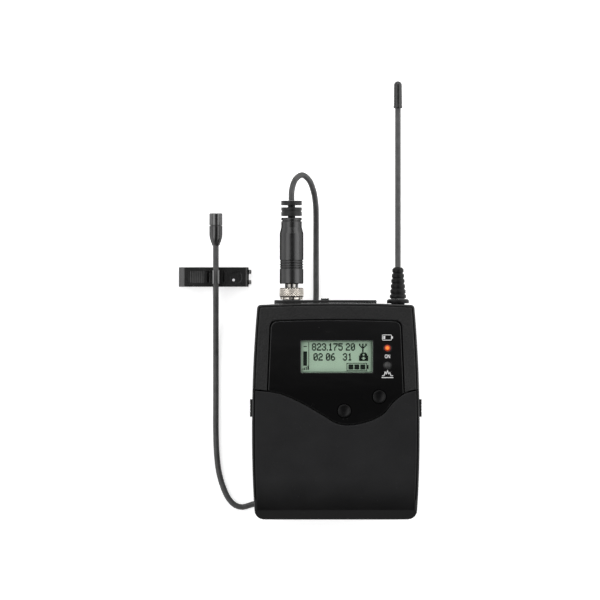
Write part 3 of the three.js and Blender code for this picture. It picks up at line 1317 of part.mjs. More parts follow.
// From the coil under the case's top edge, up through a loop, and into the plug.
function cablePlugSide() {
  const start = COIL_POINTS.at(-1);
  const exit = [PACK_X + JACK_X, PACK_Y + RELIEF_TOP + GAP, PACK_Z + AXIS_Z];
  return cableAlong([
    [start.x, start.y + GAP, start.z], [start.x, start.y + GAP + 2, start.z],
    [-3.6, -40, 8.6], [-1, -30, 6.9],
    [2.6, -20, 4.4], [5.2, -10, 2.2], [6.1, 0, 1.25], [6.15, 9, 1.25], [6.15, 17, 2.3], [6.15, 24.5, 4.7],
    [6.15, 31, 8], [6, 36.5, 11.4], [5.2, 41.5, 14.8], [3.4, 45.7, 17.9], [0.7, 47.5, 20.2],
    [-1.8, 45.8, 21.6], [exit[0] + 0.1, 42, 22.4], [exit[0], exit[1] + 1.5, exit[2]], exit,
  ].map((point) => new THREE.Vector3(...point)));
}

// ---------------------------------------------------------------- assembly

// Each mesh is made from a solid and its finish, under the name that a person would use for it.
function piece(name, solid, look) {
  const mesh = new THREE.Mesh(toGeometry(solid), new THREE.MeshStandardMaterial(look));
  mesh.name = name;
  return mesh;
}

const pack = new THREE.Group();
pack.position.set(PACK_X, PACK_Y, PACK_Z);
pack.add(
  piece('rear_shell', rearShell(), SATIN_BLACK),
  piece('front_frame', frontFrame(), SATIN_BLACK),
  ...SCREW_POINTS.map((point, i) => piece(`case_screw_${i + 1}`, caseScrew(point), STEEL)),
  piece('display_panel', displayPanel(), GLOSS_BLACK),
  piece('lcd_lens', lcdLens(), LCD_GREY),
  piece('lcd_module', lcdModule(), LCD_GREY),
  piece('power_lamp', lamp(POWER_LAMP_Y), LAMP_RED),
  piece('peak_lamp', lamp(PEAK_LAMP_Y), LAMP_GREY),
  piece('power_button', pushButton(POWER_BUTTON), BUTTON_BLACK),
  piece('set_button', pushButton(SET_BUTTON), BUTTON_BLACK),
  piece('power_switch', tactSwitch(POWER_BUTTON), BUTTON_BLACK),
  piece('set_switch', tactSwitch(SET_BUTTON), BUTTON_BLACK),
  piece('rocker_key', rockerKey(), BUTTON_BLACK),
  piece('rocker_pad', rockerPad(), SOFT_BLACK),
  piece('main_board', mainBoard(), BOARD_GREEN),
  piece('shield_can', shieldCan(), STEEL),
  piece('battery_tray', batteryTray(), SATIN_BLACK),
  piece('battery_lower', cell(CELL_LOW_Y, 1), CELL_GREY),
  piece('battery_upper', cell(CELL_HIGH_Y, -1), CELL_GREY),
  piece('contact_bridge', contact(-1, [CELL_LOW_Y, CELL_HIGH_Y]), GOLD),
  piece('contact_lower', contact(1, [CELL_LOW_Y]), GOLD),
  piece('contact_upper', contact(1, [CELL_HIGH_Y]), GOLD),
  piece('battery_door', batteryDoor(), DOOR_BLACK),
  piece('door_hinge_pin', doorHingePin(), STEEL),
  piece('catch_left', sideCatch(-1), SATIN_BLACK),
  piece('catch_right', sideCatch(1), SATIN_BLACK),
  piece('top_plate', topPlate(), SATIN_BLACK),
  piece('mute_slider', muteSlider(), BUTTON_BLACK),
  piece('mute_switch', muteSwitch(), STEEL),
  piece('jack_socket', jackSocket(), NICKEL),
  piece('jack_locknut', jackLocknut(), NICKEL),
  piece('plug_contact_pin', plugContactPin(), GOLD),
  piece('plug_sleeve', plugSleeve(), NICKEL),
  piece('plug_nut', knurledNut(), NICKEL),
  piece('plug_body', plugBody(), METAL_BLACK),
  piece('plug_strain_relief', plugRelief(), SOFT_BLACK),
  piece('antenna_base', antennaBase(), METAL_BLACK),
  piece('antenna_boot', antennaBoot(), SOFT_BLACK),
  piece('antenna_rod', antennaRod(), SOFT_BLACK),
  piece('antenna_tip', antennaTip(), SATIN_BLACK),
  piece('belt_clip', beltClip(), STEEL),
);

const microphone = new THREE.Group();
microphone.position.set(MIC_X, 0, CABLE_RISE);
microphone.add(
  piece('mic_cap', micCap(), METAL_BLACK),
  piece('mic_screen', micScreen(), STEEL),
  piece('mic_capsule', micCapsule(), STEEL),
  piece('mic_housing', micHousing(), METAL_BLACK),
  piece('mic_strain_relief', micRelief(), SOFT_BLACK),
);

const tieClip = new THREE.Group();
tieClip.position.set(MIC_X, CLIP_Y, 0);
tieClip.add(
  piece('clip_front_jaw', frontJaw(), METAL_BLACK),
  piece('clip_rear_jaw', rearJaw(), METAL_BLACK),
  piece('clip_pin', jawPin(), STEEL),
  piece('clip_spring', jawSpring(), STEEL),
  piece('cable_holder', cableHolder(), SOFT_BLACK),
);

const lead = new THREE.Group();
lead.add(
  piece('cable_mic_side', cableMicSide(), SOFT_BLACK),
  piece('cable_coil', cableCoil(), SOFT_BLACK),
  piece('cable_plug_side', cablePlugSide(), SOFT_BLACK),
);

const set = new THREE.Group();
set.add(pack, microphone, tieClip, lead);

export default set;
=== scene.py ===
"""Looks of a clip-on microphone set, laid flat: the microphone on its tie clip, its cable with the
screw-lock plug, and the belt-worn transmitter with its display, battery door and antenna.

Shapes are drawn in millimetres and become metres when a piece is finished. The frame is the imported
part's own: +Z up from the table, +Y along the antenna, +X to the right.
"""

from __future__ import annotations

import logging
import math
from dataclasses import dataclass
from enum import Enum
from typing import Iterable, Sequence

import bmesh
import bpy
from mathutils import Matrix, Vector


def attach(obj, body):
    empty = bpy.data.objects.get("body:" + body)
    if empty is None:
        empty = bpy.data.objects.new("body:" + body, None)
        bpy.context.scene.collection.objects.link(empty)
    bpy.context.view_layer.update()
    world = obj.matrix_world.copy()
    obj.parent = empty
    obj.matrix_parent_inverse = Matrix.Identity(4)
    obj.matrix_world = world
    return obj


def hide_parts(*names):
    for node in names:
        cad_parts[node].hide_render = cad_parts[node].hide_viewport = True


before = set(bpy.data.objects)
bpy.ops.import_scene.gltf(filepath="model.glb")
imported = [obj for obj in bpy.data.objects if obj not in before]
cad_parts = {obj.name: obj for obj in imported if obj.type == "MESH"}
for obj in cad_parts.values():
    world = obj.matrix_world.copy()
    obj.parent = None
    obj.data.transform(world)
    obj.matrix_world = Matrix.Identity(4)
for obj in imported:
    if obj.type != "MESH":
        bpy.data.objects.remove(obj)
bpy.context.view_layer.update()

log = logging.getLogger("microphone set")

Pair = tuple[float, float]
Triple = tuple[float, float, float]
Socket = bpy.types.NodeSocket
Node = bpy.types.Node
Piece = bpy.types.Object

MM = 0.001
GAP = 0.3  # clearance between pieces that touch
SLIDE_GAP = 0.35  # clearance round a piece that slides or rocks
WALL = 1.6  # moulded walls
BIG = 200.0  # longer than the whole set, for cutting tools
EVERYWHERE: Pair = (-BIG, BIG)


class Body(Enum):
    """The moving bodies that pieces ride on."""

    TRANSMITTER = "transmitter"
    DOOR = "door"
    LEFT_CATCH = "left_catch"
    RIGHT_CATCH = "right_catch"
    POWER_BUTTON = "power_button"
    SET_BUTTON = "set_button"
    ROCKER = "rocker"
    MUTE = "mute"
    NUT = "nut"
    BELT_CLIP = "belt_clip"
    TIE_CLIP = "tie_clip"
    TIE_CLIP_JAW = "tie_clip_jaw"


class Axis(Enum):
    """A direction that a shape is drawn out along: where x, y and z stand in its outline and length."""

    X = (2, 0, 1)
    Y = (0, 2, 1)
    Z = (0, 1, 2)


# ---------------- outlines


def about(middle: float, width: float) -> Pair:
    """Returns the range of a width about a middle."""
    return middle - width / 2, middle + width / 2


def sided(side: int, near: float, far: float) -> Pair:
    """Returns a range of distances from the middle, on the right (1) or the left (-1)."""
    return (near, far) if side > 0 else (-far, -near)


def quadratic(start: Pair, pull: Pair, end: Pair, steps: int) -> list[Pair]:
    """Points along a quadratic curve, without its start.

    Args:
        start, pull, end: The curve's three control points.
        steps: How many points to give.

    Returns:
        The points, the last of which is the end.
    """
    points = []
    for step in range(1, steps + 1):
        t = step / steps
        a, b, c = (1 - t) ** 2, 2 * t * (1 - t), t * t
        points.append((a * start[0] + b * pull[0] + c * end[0], a * start[1] + b * pull[1] + c * end[1]))
    return points


def arc(centre: Pair, radius: float, start: float, end: float, steps: int) -> list[Pair]:
    """Points along an arc.

    Args:
        centre, radius: The arc's own.
        start, end: Its angles in degrees.
        steps: How many stretches to divide it into.

    Returns:
        The points, both ends included.
    """
    points = []
    for step in range(steps + 1):
        angle = math.radians(start + (end - start) * step / steps)
        points.append((centre[0] + radius * math.cos(angle), centre[1] + radius * math.sin(angle)))
    return points


def rounded_rectangle(across: Pair, up: Pair, radius: float, steps: int = 6) -> list[Pair]:
    """Draws a rectangle with round corners.

    Args:
        across, up: Its ranges.
        radius: The corners' radius.
        steps: How many stretches each corner has.

    Returns:
        The outline.
    """
    (x0, x1), (y0, y1) = across, up
    return (
        arc((x1 - radius, y0 + radius), radius, -90, 0, steps)
        + arc((x1 - radius, y1 - radius), radius, 0, 90, steps)
        + arc((x0 + radius, y1 - radius), radius, 90, 180, steps)
        + arc((x0 + radius, y0 + radius), radius, 180, 270, steps)
    )


def softened(profile: Sequence[Pair], radius: float, steps: int = 3) -> list[Pair]:
    """Rounds the corners of a profile.

    Args:
        profile: The points of an open line.
        radius: How far each rounding reaches along the shorter of its two sides at most.
        steps: How many points each rounding gets.

    Returns:
        The profile's points with each inner corner drawn as a small curve.
    """
    points = [profile[0]]
    for before, corner, after in zip(profile, profile[1:], profile[2:]):
        to_before = Vector(before) - Vector(corner)
        to_after = Vector(after) - Vector(corner)
        reach = min(radius, 0.45 * to_before.length, 0.45 * to_after.length)
        if reach < 1e-4 or abs(to_before.normalized().cross(to_after.normalized())) < 0.15:
            points.append(corner)
            continue
        start = Vector(corner) + to_before.normalized() * reach
        end = Vector(corner) + to_after.normalized() * reach
        points.append(tuple(start))
        points.extend(quadratic(tuple(start), corner, tuple(end), steps))
    points.append(profile[-1])
    return points


def tab(radius: float, middle: Pair, reach: float, steps: int = 20) -> list[Pair]:
    """Draws a tab.

    Args:
        radius, middle: Its round end.
        reach: How far its straight sides go.
        steps: How many stretches the round end has.

    Returns:
        The outline.
    """
    a, b = middle
    sweep = 180 if reach > b else -180
    return [(a - radius, reach), *arc(middle, radius, 180, 180 + sweep, steps), (a + radius, reach)]


def through(knots: Sequence[Pair], steps: int) -> list[Pair]:
    """Points of a smooth curve through knots, evenly spaced in the curve's own parameter.

    Args:
        knots: The points that the curve passes through.
        steps: How many stretches to divide it into.

    Returns:
        The points, both ends included.
    """
    last = len(knots) - 1
    points = []
    for step in range(steps + 1):
        place = last * step / steps
        i = min(int(place), last - 1)
        t = place - i
        p0, p1, p2, p3 = (Vector(knots[min(max(k, 0), last)]) for k in (i - 1, i, i + 1, i + 2))
        v0, v1 = (p2 - p0) / 2, (p3 - p1) / 2
        value = p1 + v0 * t + (3 * (p2 - p1) - 2 * v0 - v1) * t**2 + (2 * (p1 - p2) + v0 + v1) * t**3
        points.append((value.x, value.y))
    return points


# ---------------- solids


def placed(name: str, data: bpy.types.ID) -> Piece:
    """Makes an object and links it to the scene.

    Args:
        name: The object's name.
        data: Its mesh, camera, light or curve.

    Returns:
        The object.
    """
    obj = bpy.data.objects.new(name, data)
    bpy.context.scene.collection.objects.link(obj)
    return obj


class Solid:
    """A closed mesh in millimetres that others can be joined to, cut from or crossed with."""

    def __init__(self, obj: Piece) -> None:
        """Wraps an object that holds the mesh."""
        self.obj = obj

    @classmethod
    def of(cls, corners: Iterable[Sequence[float]], faces: Iterable[Sequence[int]]) -> Solid:
        """Makes a solid from corners and faces, and turns its faces outwards.

        Args:
            corners: The mesh's vertices.
            faces: Each face's corners by number.

        Returns:
            The new solid.
        """
        mesh = bpy.data.meshes.new("solid")
        mesh.from_pydata([tuple(corner) for corner in corners], [], [tuple(face) for face in faces])
        draft = bmesh.new()
        draft.from_mesh(mesh)
        bmesh.ops.remove_doubles(draft, verts=draft.verts, dist=1e-5)
        bmesh.ops.recalc_face_normals(draft, faces=draft.faces)
        draft.to_mesh(mesh)
        draft.free()
        return cls(placed("solid", mesh))

    @classmethod
    def loft(cls, rings: Sequence[Sequence[Triple]]) -> Solid:
        """Makes a solid through rings of as many corners each.

        Args:
            rings: The rings, of which the first and the last close it.

        Returns:
            The new solid.
        """
        sides = len(rings[0])
        faces = [list(range(sides)), list(range((len(rings) - 1) * sides, len(rings) * sides))]
        for ring in range(len(rings) - 1):
            for s in range(sides):
                a, b = ring * sides + s, ring * sides + (s + 1) % sides
                faces.append([a, b, b + sides, a + sides])
        return cls.of([corner for ring in rings for corner in ring], faces)

    @classmethod
    def slab(cls, outline: Sequence[Pair], span: Pair, axis: Axis = Axis.Z) -> Solid:
        """Makes a flat outline solid over a span along an axis."""
        return cls.loft([[tuple((u, v, h)[i] for i in axis.value) for u, v in outline] for h in span])

    @classmethod
    def block(cls, x: Pair, y: Pair, z: Pair) -> Solid:
        """Makes a block from its ranges."""
        return cls.slab([(x[0], y[0]), (x[1], y[0]), (x[1], y[1]), (x[0], y[1])], z)

    @classmethod
    def bar(cls, radius: float, span: Pair, middle: Pair, axis: Axis, sides: int = 48) -> Solid:
        """Makes a round bar over a span along an axis, through a middle in the other two."""
        return cls.slab(arc(middle, radius, 0, 360 - 360 / sides, sides - 1), span, axis)

    @classmethod
    def turned(cls, profile: Sequence[Pair], middle: Pair, segments: int = 72) -> Solid:
        """Makes a turned solid about a line along y.

        Args:
            profile: Radius and height of each point, from axis to axis or a closed loop.
            middle: The line's x and z.
            segments: How many steps the turn has.

        Returns:
            The new solid.
        """
        corners, faces, count = [], [], len(profile)
        for step in range(segments):
            angle = 2 * math.pi * step / segments
            x, z = math.cos(angle), math.sin(angle)
            corners += [(middle[0] + r * x, h, middle[1] + r * z) for r, h in profile]
            here, there = step * count, (step + 1) % segments * count
            faces += [[here + i, here + i + 1, there + i + 1, there + i] for i in range(count - 1)]
        return cls.of(corners, faces)

    @classmethod
    def tube(cls, points: Sequence[Vector], radius: float, sides: int = 16) -> Solid:
        """Makes a round tube with its own map: round it in u, along it in v (mm).

        Args:
            points: The line along its middle.
            radius: Its radius.
            sides: How many sides it has.

        Returns:
            The new solid.
        """
        rings = []
        side = Vector((0.3, 0.5, 0.8))
        last = len(points) - 1
        for i, point in enumerate(points):
            along = (points[min(i + 1, last)] - points[max(i - 1, 0)]).normalized()
            side = (side - along * side.dot(along)).normalized()
            up = side.cross(along)
            round_it = arc((0, 0), radius, 0, 360 - 360 / sides, sides - 1)
            rings.append([tuple(point + side * u + up * v) for u, v in round_it])
        tube = cls.loft(rings)
        tube.map_tube(points, sides)
        return tube

    def map_tube(self, points: Sequence[Vector], sides: int) -> None:
        """Writes a tube's own map, from the order in which its corners were made.

        Args:
            points: The line along its middle.
            sides: How many sides it has.
        """
        lengths = [0.0]
        for before, after in zip(points, points[1:]):
            lengths.append(lengths[-1] + (after - before).length)
        mesh = self.obj.data
        layer = mesh.uv_layers.new(name="Along")
        for face in mesh.polygons:
            columns = [mesh.loops[i].vertex_index % sides for i in face.loop_indices]
            wraps = max(columns) - min(columns) > sides / 2
            for i, column in zip(face.loop_indices, columns):
                turn = column + sides if wraps and column < sides / 2 else column
                layer.data[i].uv = (turn / sides, lengths[mesh.loops[i].vertex_index // sides])

    def combine(self, tools: Sequence[Solid], operation: str) -> Solid:
        """Runs a boolean with each tool in turn.

        Args:
            tools: The tools. They are used up.
            operation: Which boolean it is.

        Returns:
            This solid.
        """
        for tool in tools:
            modifier = self.obj.modifiers.new("combine", "BOOLEAN")
            modifier.operation = operation
            modifier.solver = "MANIFOLD"
            modifier.object = tool.obj
        self.bake()
        for tool in tools:
            tool.scrap()
        return self

    def scrap(self) -> None:
        """Deletes the solid."""
        mesh = self.obj.data
        bpy.data.objects.remove(self.obj)
        bpy.data.meshes.remove(mesh)

    def cut(self, *tools: Solid) -> Solid:
        """Takes the tools away from this solid."""
        return self.combine(tools, "DIFFERENCE")

    def join(self, *tools: Solid) -> Solid:
        """Adds the tools to this solid."""
        return self.combine(tools, "UNION")

    def cross(self, tool: Solid) -> Solid:
        """Keeps what this solid and the tool share."""
        return self.combine([tool], "INTERSECT")

    def moved(self, matrix: Matrix) -> Solid:
        """Moves the mesh by a matrix in millimetres."""
        self.obj.data.transform(matrix)
        return self

    def upright(self, spot: Pair = (0.0, 0.0)) -> Solid:
        """Stands a solid that was turned about y on a spot, with y up."""
        self.moved(Matrix.Rotation(math.pi / 2, 4, "X"))
        return self.moved(Matrix.Translation((*spot, 0.0)))

    def bake(self) -> None:
        """Turns the modified shape into the object's own plain mesh."""
        view = bpy.context.evaluated_depsgraph_get()
        mesh = bpy.data.meshes.new_from_object(self.obj.evaluated_get(view), depsgraph=view)
        old = self.obj.data
        self.obj.modifiers.clear()
        self.obj.data = mesh
        bpy.data.meshes.remove(old)

    def eased(self, width: float = 0.18, segments: int = 2, angle: float = 38) -> Solid:
        """Rounds the sharp edges, as moulding and handling do.

        Args:
            width: How far the rounding reaches.
            segments: How many steps it has.
            angle: The angle in degrees above which an edge is rounded.

        Returns:
            This solid.
        """
        draft = bmesh.new()
        draft.from_mesh(self.obj.data)
        bmesh.ops.remove_doubles(draft, verts=draft.verts, dist=0.012)
        bmesh.ops.dissolve_limit(draft, angle_limit=math.radians(0.6), verts=draft.verts, edges=draft.edges)
        draft.to_mesh(self.obj.data)
        draft.free()
        bevel = self.obj.modifiers.new("eased edges", "BEVEL")
        bevel.width = width
        bevel.segments = segments
        bevel.limit_method = "ANGLE"
        bevel.angle_limit = math.radians(angle)
        bevel.use_clamp_overlap = False
        bevel.miter_outer = "MITER_ARC"
        self.bake()
        return self

    def piece(
        self, name: str, finish: Finish, *nodes: str, body: Body = Body.TRANSMITTER, sharp: float = 32
    ) -> Piece:
        """Finishes the solid as a named piece in metres.

        Args:
            name: The piece's name.
            finish: What it is finished in.
            *nodes: The plain solids of the frame that it stands for.
            body: The body it rides on.
            sharp: Edges above this angle, in degrees, stay sharp in the shading.

        Returns:
            The finished object.
        """
        mesh = self.obj.data
        mesh.transform(Matrix.Scale(MM, 4))
        mesh.name = name
        self.obj.name = name
        mesh.shade_smooth()
        mesh.set_sharp_from_angle(angle=math.radians(sharp))
        weigh = self.obj.modifiers.new("even shading", "WEIGHTED_NORMAL")
        weigh.keep_sharp = True
        self.bake()
        self.obj.data.name = name
        self.obj.data.materials.clear()
        self.obj.data.materials.append(finish.material())
        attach(self.obj, body.value)
        if nodes:
            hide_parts(*nodes)
        log.info("%s: %d faces on %s", name, len(self.obj.data.polygons), body.value)
        return self.obj


# ---------------- finishes


class Tree:
    """A node tree under construction, with the shader that it dresses where it is a material's."""

    def __init__(self, tree: bpy.types.NodeTree) -> None:
        """Empties a tree and starts on it."""
        tree.nodes.clear()
        self.tree = tree
        self.shader: Node | None = None

    def connect(self, node: Node, **inputs: object) -> Node:
        """Sets or links a node's inputs.

        Args:
            node: The node.
            **inputs: Values or sockets, with _ for a blank in a name, or iN for input number N.

        Returns:
            The same node.
        """
        for name, value in inputs.items():
            numbered = name[0] == "i" and name[1:].isdigit()
            socket = node.inputs[int(name[1:])] if numbered else node.inputs[name.replace("_", " ")]
            if isinstance(value, Socket):
                self.tree.links.new(value, socket)
            else:
                socket.default_value = value
        return node

    def add(self, kind: str, settings: dict[str, object] | None = None, **inputs: object) -> Node:
        """Adds a node.

        Args:
            kind: The node's type.
            settings: The node's own settings by name.
            **inputs: Its inputs, as connect takes them.

        Returns:
            The new node.
        """
        node = self.tree.nodes.new(kind)
        for name, value in (settings or {}).items():
            setattr(node, name, value)
        return self.connect(node, **inputs)

    def feed(self, **inputs: object) -> None:
        """Sets or links inputs of the material's shader."""
        self.connect(self.shader, **inputs)

    def shared(self, name: str, **inputs: object) -> bpy.types.NodeOutputs:
        """Places a shared group and returns its outputs."""
        return self.add("ShaderNodeGroup", {"node_tree": Patterns.get(name)}, **inputs).outputs

    def math(self, operation: str, *values: object) -> Socket:
        """Adds a math node and returns its output."""
        inputs = {f"i{i}": value for i, value in enumerate(values)}
        return self.add("ShaderNodeMath", {"operation": operation}, **inputs).outputs[0]

    def plus(self, a: object, b: object) -> Socket:
        """Returns the sum of two values."""
        return self.math("ADD", a, b)

    def times(self, a: object, b: object) -> Socket:
        """Returns the product of two values."""
        return self.math("MULTIPLY", a, b)

    def ramp(self, value: Socket, low: float, high: float, start: float = 0.0, end: float = 1.0) -> Socket:
        """Maps a range of values onto another, and keeps within it."""
        return self.add("ShaderNodeMapRange", i0=value, i1=low, i2=high, i3=start, i4=end).outputs[0]

    def blend(self, share: object, a: object, b: object, mode: str = "MIX") -> Socket:
        """Mixes two colours by a share and returns the result."""
        settings = {"data_type": "RGBA", "blend_type": mode}
        return self.add("ShaderNodeMix", settings, i0=share, i6=a, i7=b).outputs[2]

    def toned(self, colour: object, share: float) -> Socket:
        """Returns a colour made darker or lighter by a share."""
        return self.blend(1.0, colour, rgb(grey(1.0), share), "MULTIPLY")

    def seen(self) -> Socket:
        """Finds the rays that show the backdrop.

        Returns:
            1 for the rays to the camera, in gloss and through glass, and 0 for the others.
        """
        rays = self.add("ShaderNodeLightPath").outputs
        mirrored = self.math("MAXIMUM", rays["Is Glossy Ray"], rays["Is Transmission Ray"])
        return self.math("MAXIMUM", rays["Is Camera Ray"], mirrored)

    def place(self) -> Socket:
        """Returns the place on the piece, in the frame's own coordinates."""
        return self.add("ShaderNodeTexCoord").outputs["Object"]

    def mapped(self, place: Socket, scale: Triple, turn: Triple = (0.0, 0.0, 0.0)) -> Socket:
        """Returns a place that is turned (radians) and stretched."""
        return self.add("ShaderNodeMapping", Vector=place, Rotation=turn, Scale=scale).outputs[0]

    def centred(self, place: Socket, middle: Triple) -> Socket:
        """Returns a place measured from a middle (mm)."""
        return self.add("ShaderNodeMapping", Vector=place, Location=tuple(-c * MM for c in middle)).outputs[0]

    def noise(
        self, place: Socket, scale: object, detail: float = 3.0, rough: float = 0.55, bent: float = 0.0
    ) -> Socket:
        """Adds a noise pattern and returns its value."""
        inputs = {"Vector": place, "Scale": scale, "Detail": detail, "Roughness": rough, "Distortion": bent}
        return self.add("ShaderNodeTexNoise", **inputs).outputs[0]

    def cells(self, place: Socket, scale: object) -> Socket:
        """Adds a cell pattern and returns how far each place is from its cell's middle."""
        inputs = {"Vector": place, "Scale": scale, "Randomness": 1.0}
        return self.add("ShaderNodeTexVoronoi", {"feature": "F1"}, **inputs).outputs[0]

    def bump(self, height: Socket, depth: float) -> Socket:
        """Returns the normal of a surface height, in millimetres at its full range."""
        return self.add("ShaderNodeBump", Strength=1.0, Distance=depth * MM, Height=height).outputs[0]


def rgb(colour: Triple, share: float = 1.0) -> tuple[float, float, float, float]:
    """Returns a colour with its alpha, made darker or lighter by a share."""
    return colour[0] * share, colour[1] * share, colour[2] * share, 1.0


def grey(tone: float) -> Triple:
    """Returns a colour without a hue."""
    return tone, tone, tone


FLOAT, COLOUR, VECTOR = "NodeSocketFloat", "NodeSocketColor", "NodeSocketVector"


def new_group(
    name: str, inputs: dict[str, tuple[str, object]], outputs: dict[str, str]
) -> tuple[Tree, bpy.types.NodeOutputs, Node]:
    """Makes a shader node group with named inputs and outputs.

    Args:
        name: The group's name.
        inputs: Each input's socket type and its value before it is set.
        outputs: Each output's socket type.

    Returns:
        The tree to build in, the group's inputs as sockets, and its output node.
    """
    group = bpy.data.node_groups.new(name, "ShaderNodeTree")
    for label, (kind, value) in inputs.items():
        group.interface.new_socket(label, in_out="INPUT", socket_type=kind).default_value = value
    for label, kind in outputs.items():
        group.interface.new_socket(label, in_out="OUTPUT", socket_type=kind)
    tree = Tree(group)
    return tree, tree.add("NodeGroupInput").outputs, tree.add("NodeGroupOutput")


def moulded_grain() -> bpy.types.NodeTree:
    """Builds the spark-eroded grain of moulded plastic: fine pits, and slow change from spot to spot.

    Returns:
        The group, with the colour, the roughness and the surface height as outputs.
    """
    tree, given, end = new_group(
        "moulded grain",
        {
            "Colour": (COLOUR, rgb(grey(0.02))),
            "Roughness": (FLOAT, 0.5),
            "Grains per metre": (FLOAT, 5000.0),
            "Unevenness": (FLOAT, 0.15),
        },
        {"Colour": COLOUR, "Roughness": FLOAT, "Height": FLOAT},
    )
    place, grains = tree.place(), given["Grains per metre"]
    fine, pits = tree.noise(place, grains, 2.0, 0.5), tree.cells(place, grains)
    cloud = tree.ramp(tree.noise(place, 90.0, 4.0), 0.3, 0.7, -1.0, 1.0)
    shift = tree.times(cloud, given["Unevenness"])
    darker, lighter = tree.toned(given["Colour"], 0.45), tree.toned(given["Colour"], 1.9)
    colour = tree.blend(tree.ramp(shift, -1.0, 1.0), darker, lighter)
    colour = tree.blend(tree.ramp(fine, 0.35, 0.65), tree.toned(colour, 0.85), colour)
    rough = tree.plus(given["Roughness"], tree.times(shift, 0.35))
    tree.connect(end, Colour=colour, Roughness=rough, Height=tree.plus(fine, tree.times(pits, 0.6)))
    return tree.tree


def handling_marks() -> bpy.types.NodeTree:
    """Builds the faint smears, hairlines and dust that handling leaves.

    Returns:
        The group, with a smear mask, a hairline mask and a dust mask as outputs.
    """
    tree, given, end = new_group(
        "handling marks",
        {"Marks per metre": (FLOAT, 60.0), "Dust share": (FLOAT, 0.1)},
        {"Smears": FLOAT, "Hairlines": FLOAT, "Dust": FLOAT},
    )
    place = tree.place()
    broad = tree.noise(tree.mapped(place, (1.0, 2.2, 1.0), (0.3, 0.2, 0.9)), given["Marks per metre"], 5.0, 0.6, 0.8)
    lines = tree.noise(tree.mapped(place, (1.0, 34.0, 1.0), (0.0, 0.0, 0.6)), 130.0, 2.0)
    near = tree.math("LESS_THAN", tree.cells(place, 1400.0), 0.16)
    some = tree.math("LESS_THAN", tree.noise(place, 260.0, 1.0), tree.plus(given["Dust share"], 0.3))
    smears, hairlines = tree.ramp(broad, 0.48, 0.72), tree.ramp(lines, 0.70, 0.76)
    tree.connect(end, Smears=smears, Hairlines=hairlines, Dust=tree.times(near, some))
    return tree.tree


def drawn_lines() -> bpy.types.NodeTree:
    """Builds the fine lines that drawing, turning or brushing leaves along a piece.

    Returns:
        The group, with a streak value and a height as outputs.
    """
    inputs = {"Place": (VECTOR, (0, 0, 0)), "Lines per metre": (FLOAT, 4000.0)}
    tree, given, end = new_group("drawn lines", inputs, {"Streaks": FLOAT, "Height": FLOAT})
    lines = tree.noise(given["Place"], given["Lines per metre"], 3.0, 0.65)
    tree.connect(end, Streaks=tree.ramp(lines, 0.3, 0.7), Height=lines)
    return tree.tree


class Patterns:
    """The node groups that several finishes share, each built once."""

    made: dict[str, bpy.types.NodeTree] = {}

    @classmethod
    def get(cls, name: str) -> bpy.types.NodeTree:
        """Finds a shared group, and builds it at its first use.

        Args:
            name: The pattern's short name.

        Returns:
            The group.
        """
        makers = {"grain": moulded_grain, "marks": handling_marks, "lines": drawn_lines}
        if name not in cls.made:
            cls.made[name] = makers[name]()
        return cls.made[name]


@dataclass(frozen=True)
class Finish:
    """What a piece is finished in. Each kind of finish dresses its material in its own way."""

    name: str
    slot: str
    colour: Triple
    roughness: float
    specular: float = 0.5
    # painted light and shade along y, standing in for how light falls down the piece
    painted_shade: Triple | None = None  # heights (mm, along y) of the written tone and of the changed one, and its share

    def material(self) -> bpy.types.Material:
        """Makes the finish's material at its first use.

        Returns:
            The material.
        """
        found = bpy.data.materials.get(self.name)
        if found:
            return found
        material = bpy.data.materials.new(self.name)
        material.use_nodes = True
        tree = Tree(material.node_tree)
        tree.shader = tree.add("ShaderNodeBsdfPrincipled", Base_Color=rgb(self.colour), Roughness=self.roughness)
        tree.feed(Specular_IOR_Level=self.specular)
        tree.add("ShaderNodeOutputMaterial", Surface=tree.shader.outputs[0])
        self.dress(tree)
        return material

    def dress(self, tree: Tree) -> None:
        """Adds the finish's own nodes to its material's tree."""
        raise NotImplementedError

    def with_painted_shade(self, tree: Tree, colour: Socket) -> Socket:
        """Paints light and shade onto a colour: changes its tone along y, where the finish asks for it.

        Args:
            tree: The material's tree.
            colour: The colour as written.

        Returns:
            The colour to use.
        """
        if not self.painted_shade:
            return colour
        near, far, share = self.painted_shade
        height = tree.add("ShaderNodeSeparateXYZ", i0=tree.place()).outputs[1]
        return tree.blend(tree.ramp(height, near * MM, far * MM), colour, tree.toned(colour, share))


@dataclass(frozen=True)
class MouldedPlastic(Finish):
    """Grained plastic with faint handling marks and, on request, painted light and shade that changes its tone down
    the piece.
    """

    grains: float = 4200.0  # to the metre
    depth: float = 0.016  # of the grain (mm)
    unevenness: float = 0.10
    smear: float = -0.05  # how much smoother a smear is
    dust: float = 0.10
    dust_colour: Triple = (0.25, 0.25, 0.24)

    def dress(self, tree: Tree) -> None:
        """Adds grain, smears and the painted light and shade along y.

        Args:
            tree: The material's tree.
        """
        colour = {"Colour": rgb(self.colour), "Roughness": self.roughness}
        grain = tree.shared("grain", **colour, Grains_per_metre=self.grains, Unevenness=self.unevenness)
        marks = tree.shared("marks", Marks_per_metre=70.0, Dust_share=0.04)
        dust = tree.times(marks["Dust"], self.dust)
        tree.feed(
            Base_Color=tree.blend(dust, self.with_painted_shade(tree, grain["Colour"]), rgb(self.dust_colour)),
            Roughness=tree.plus(grain["Roughness"], tree.times(marks["Smears"], self.smear)),
            Normal=tree.bump(grain["Height"], self.depth),
        )


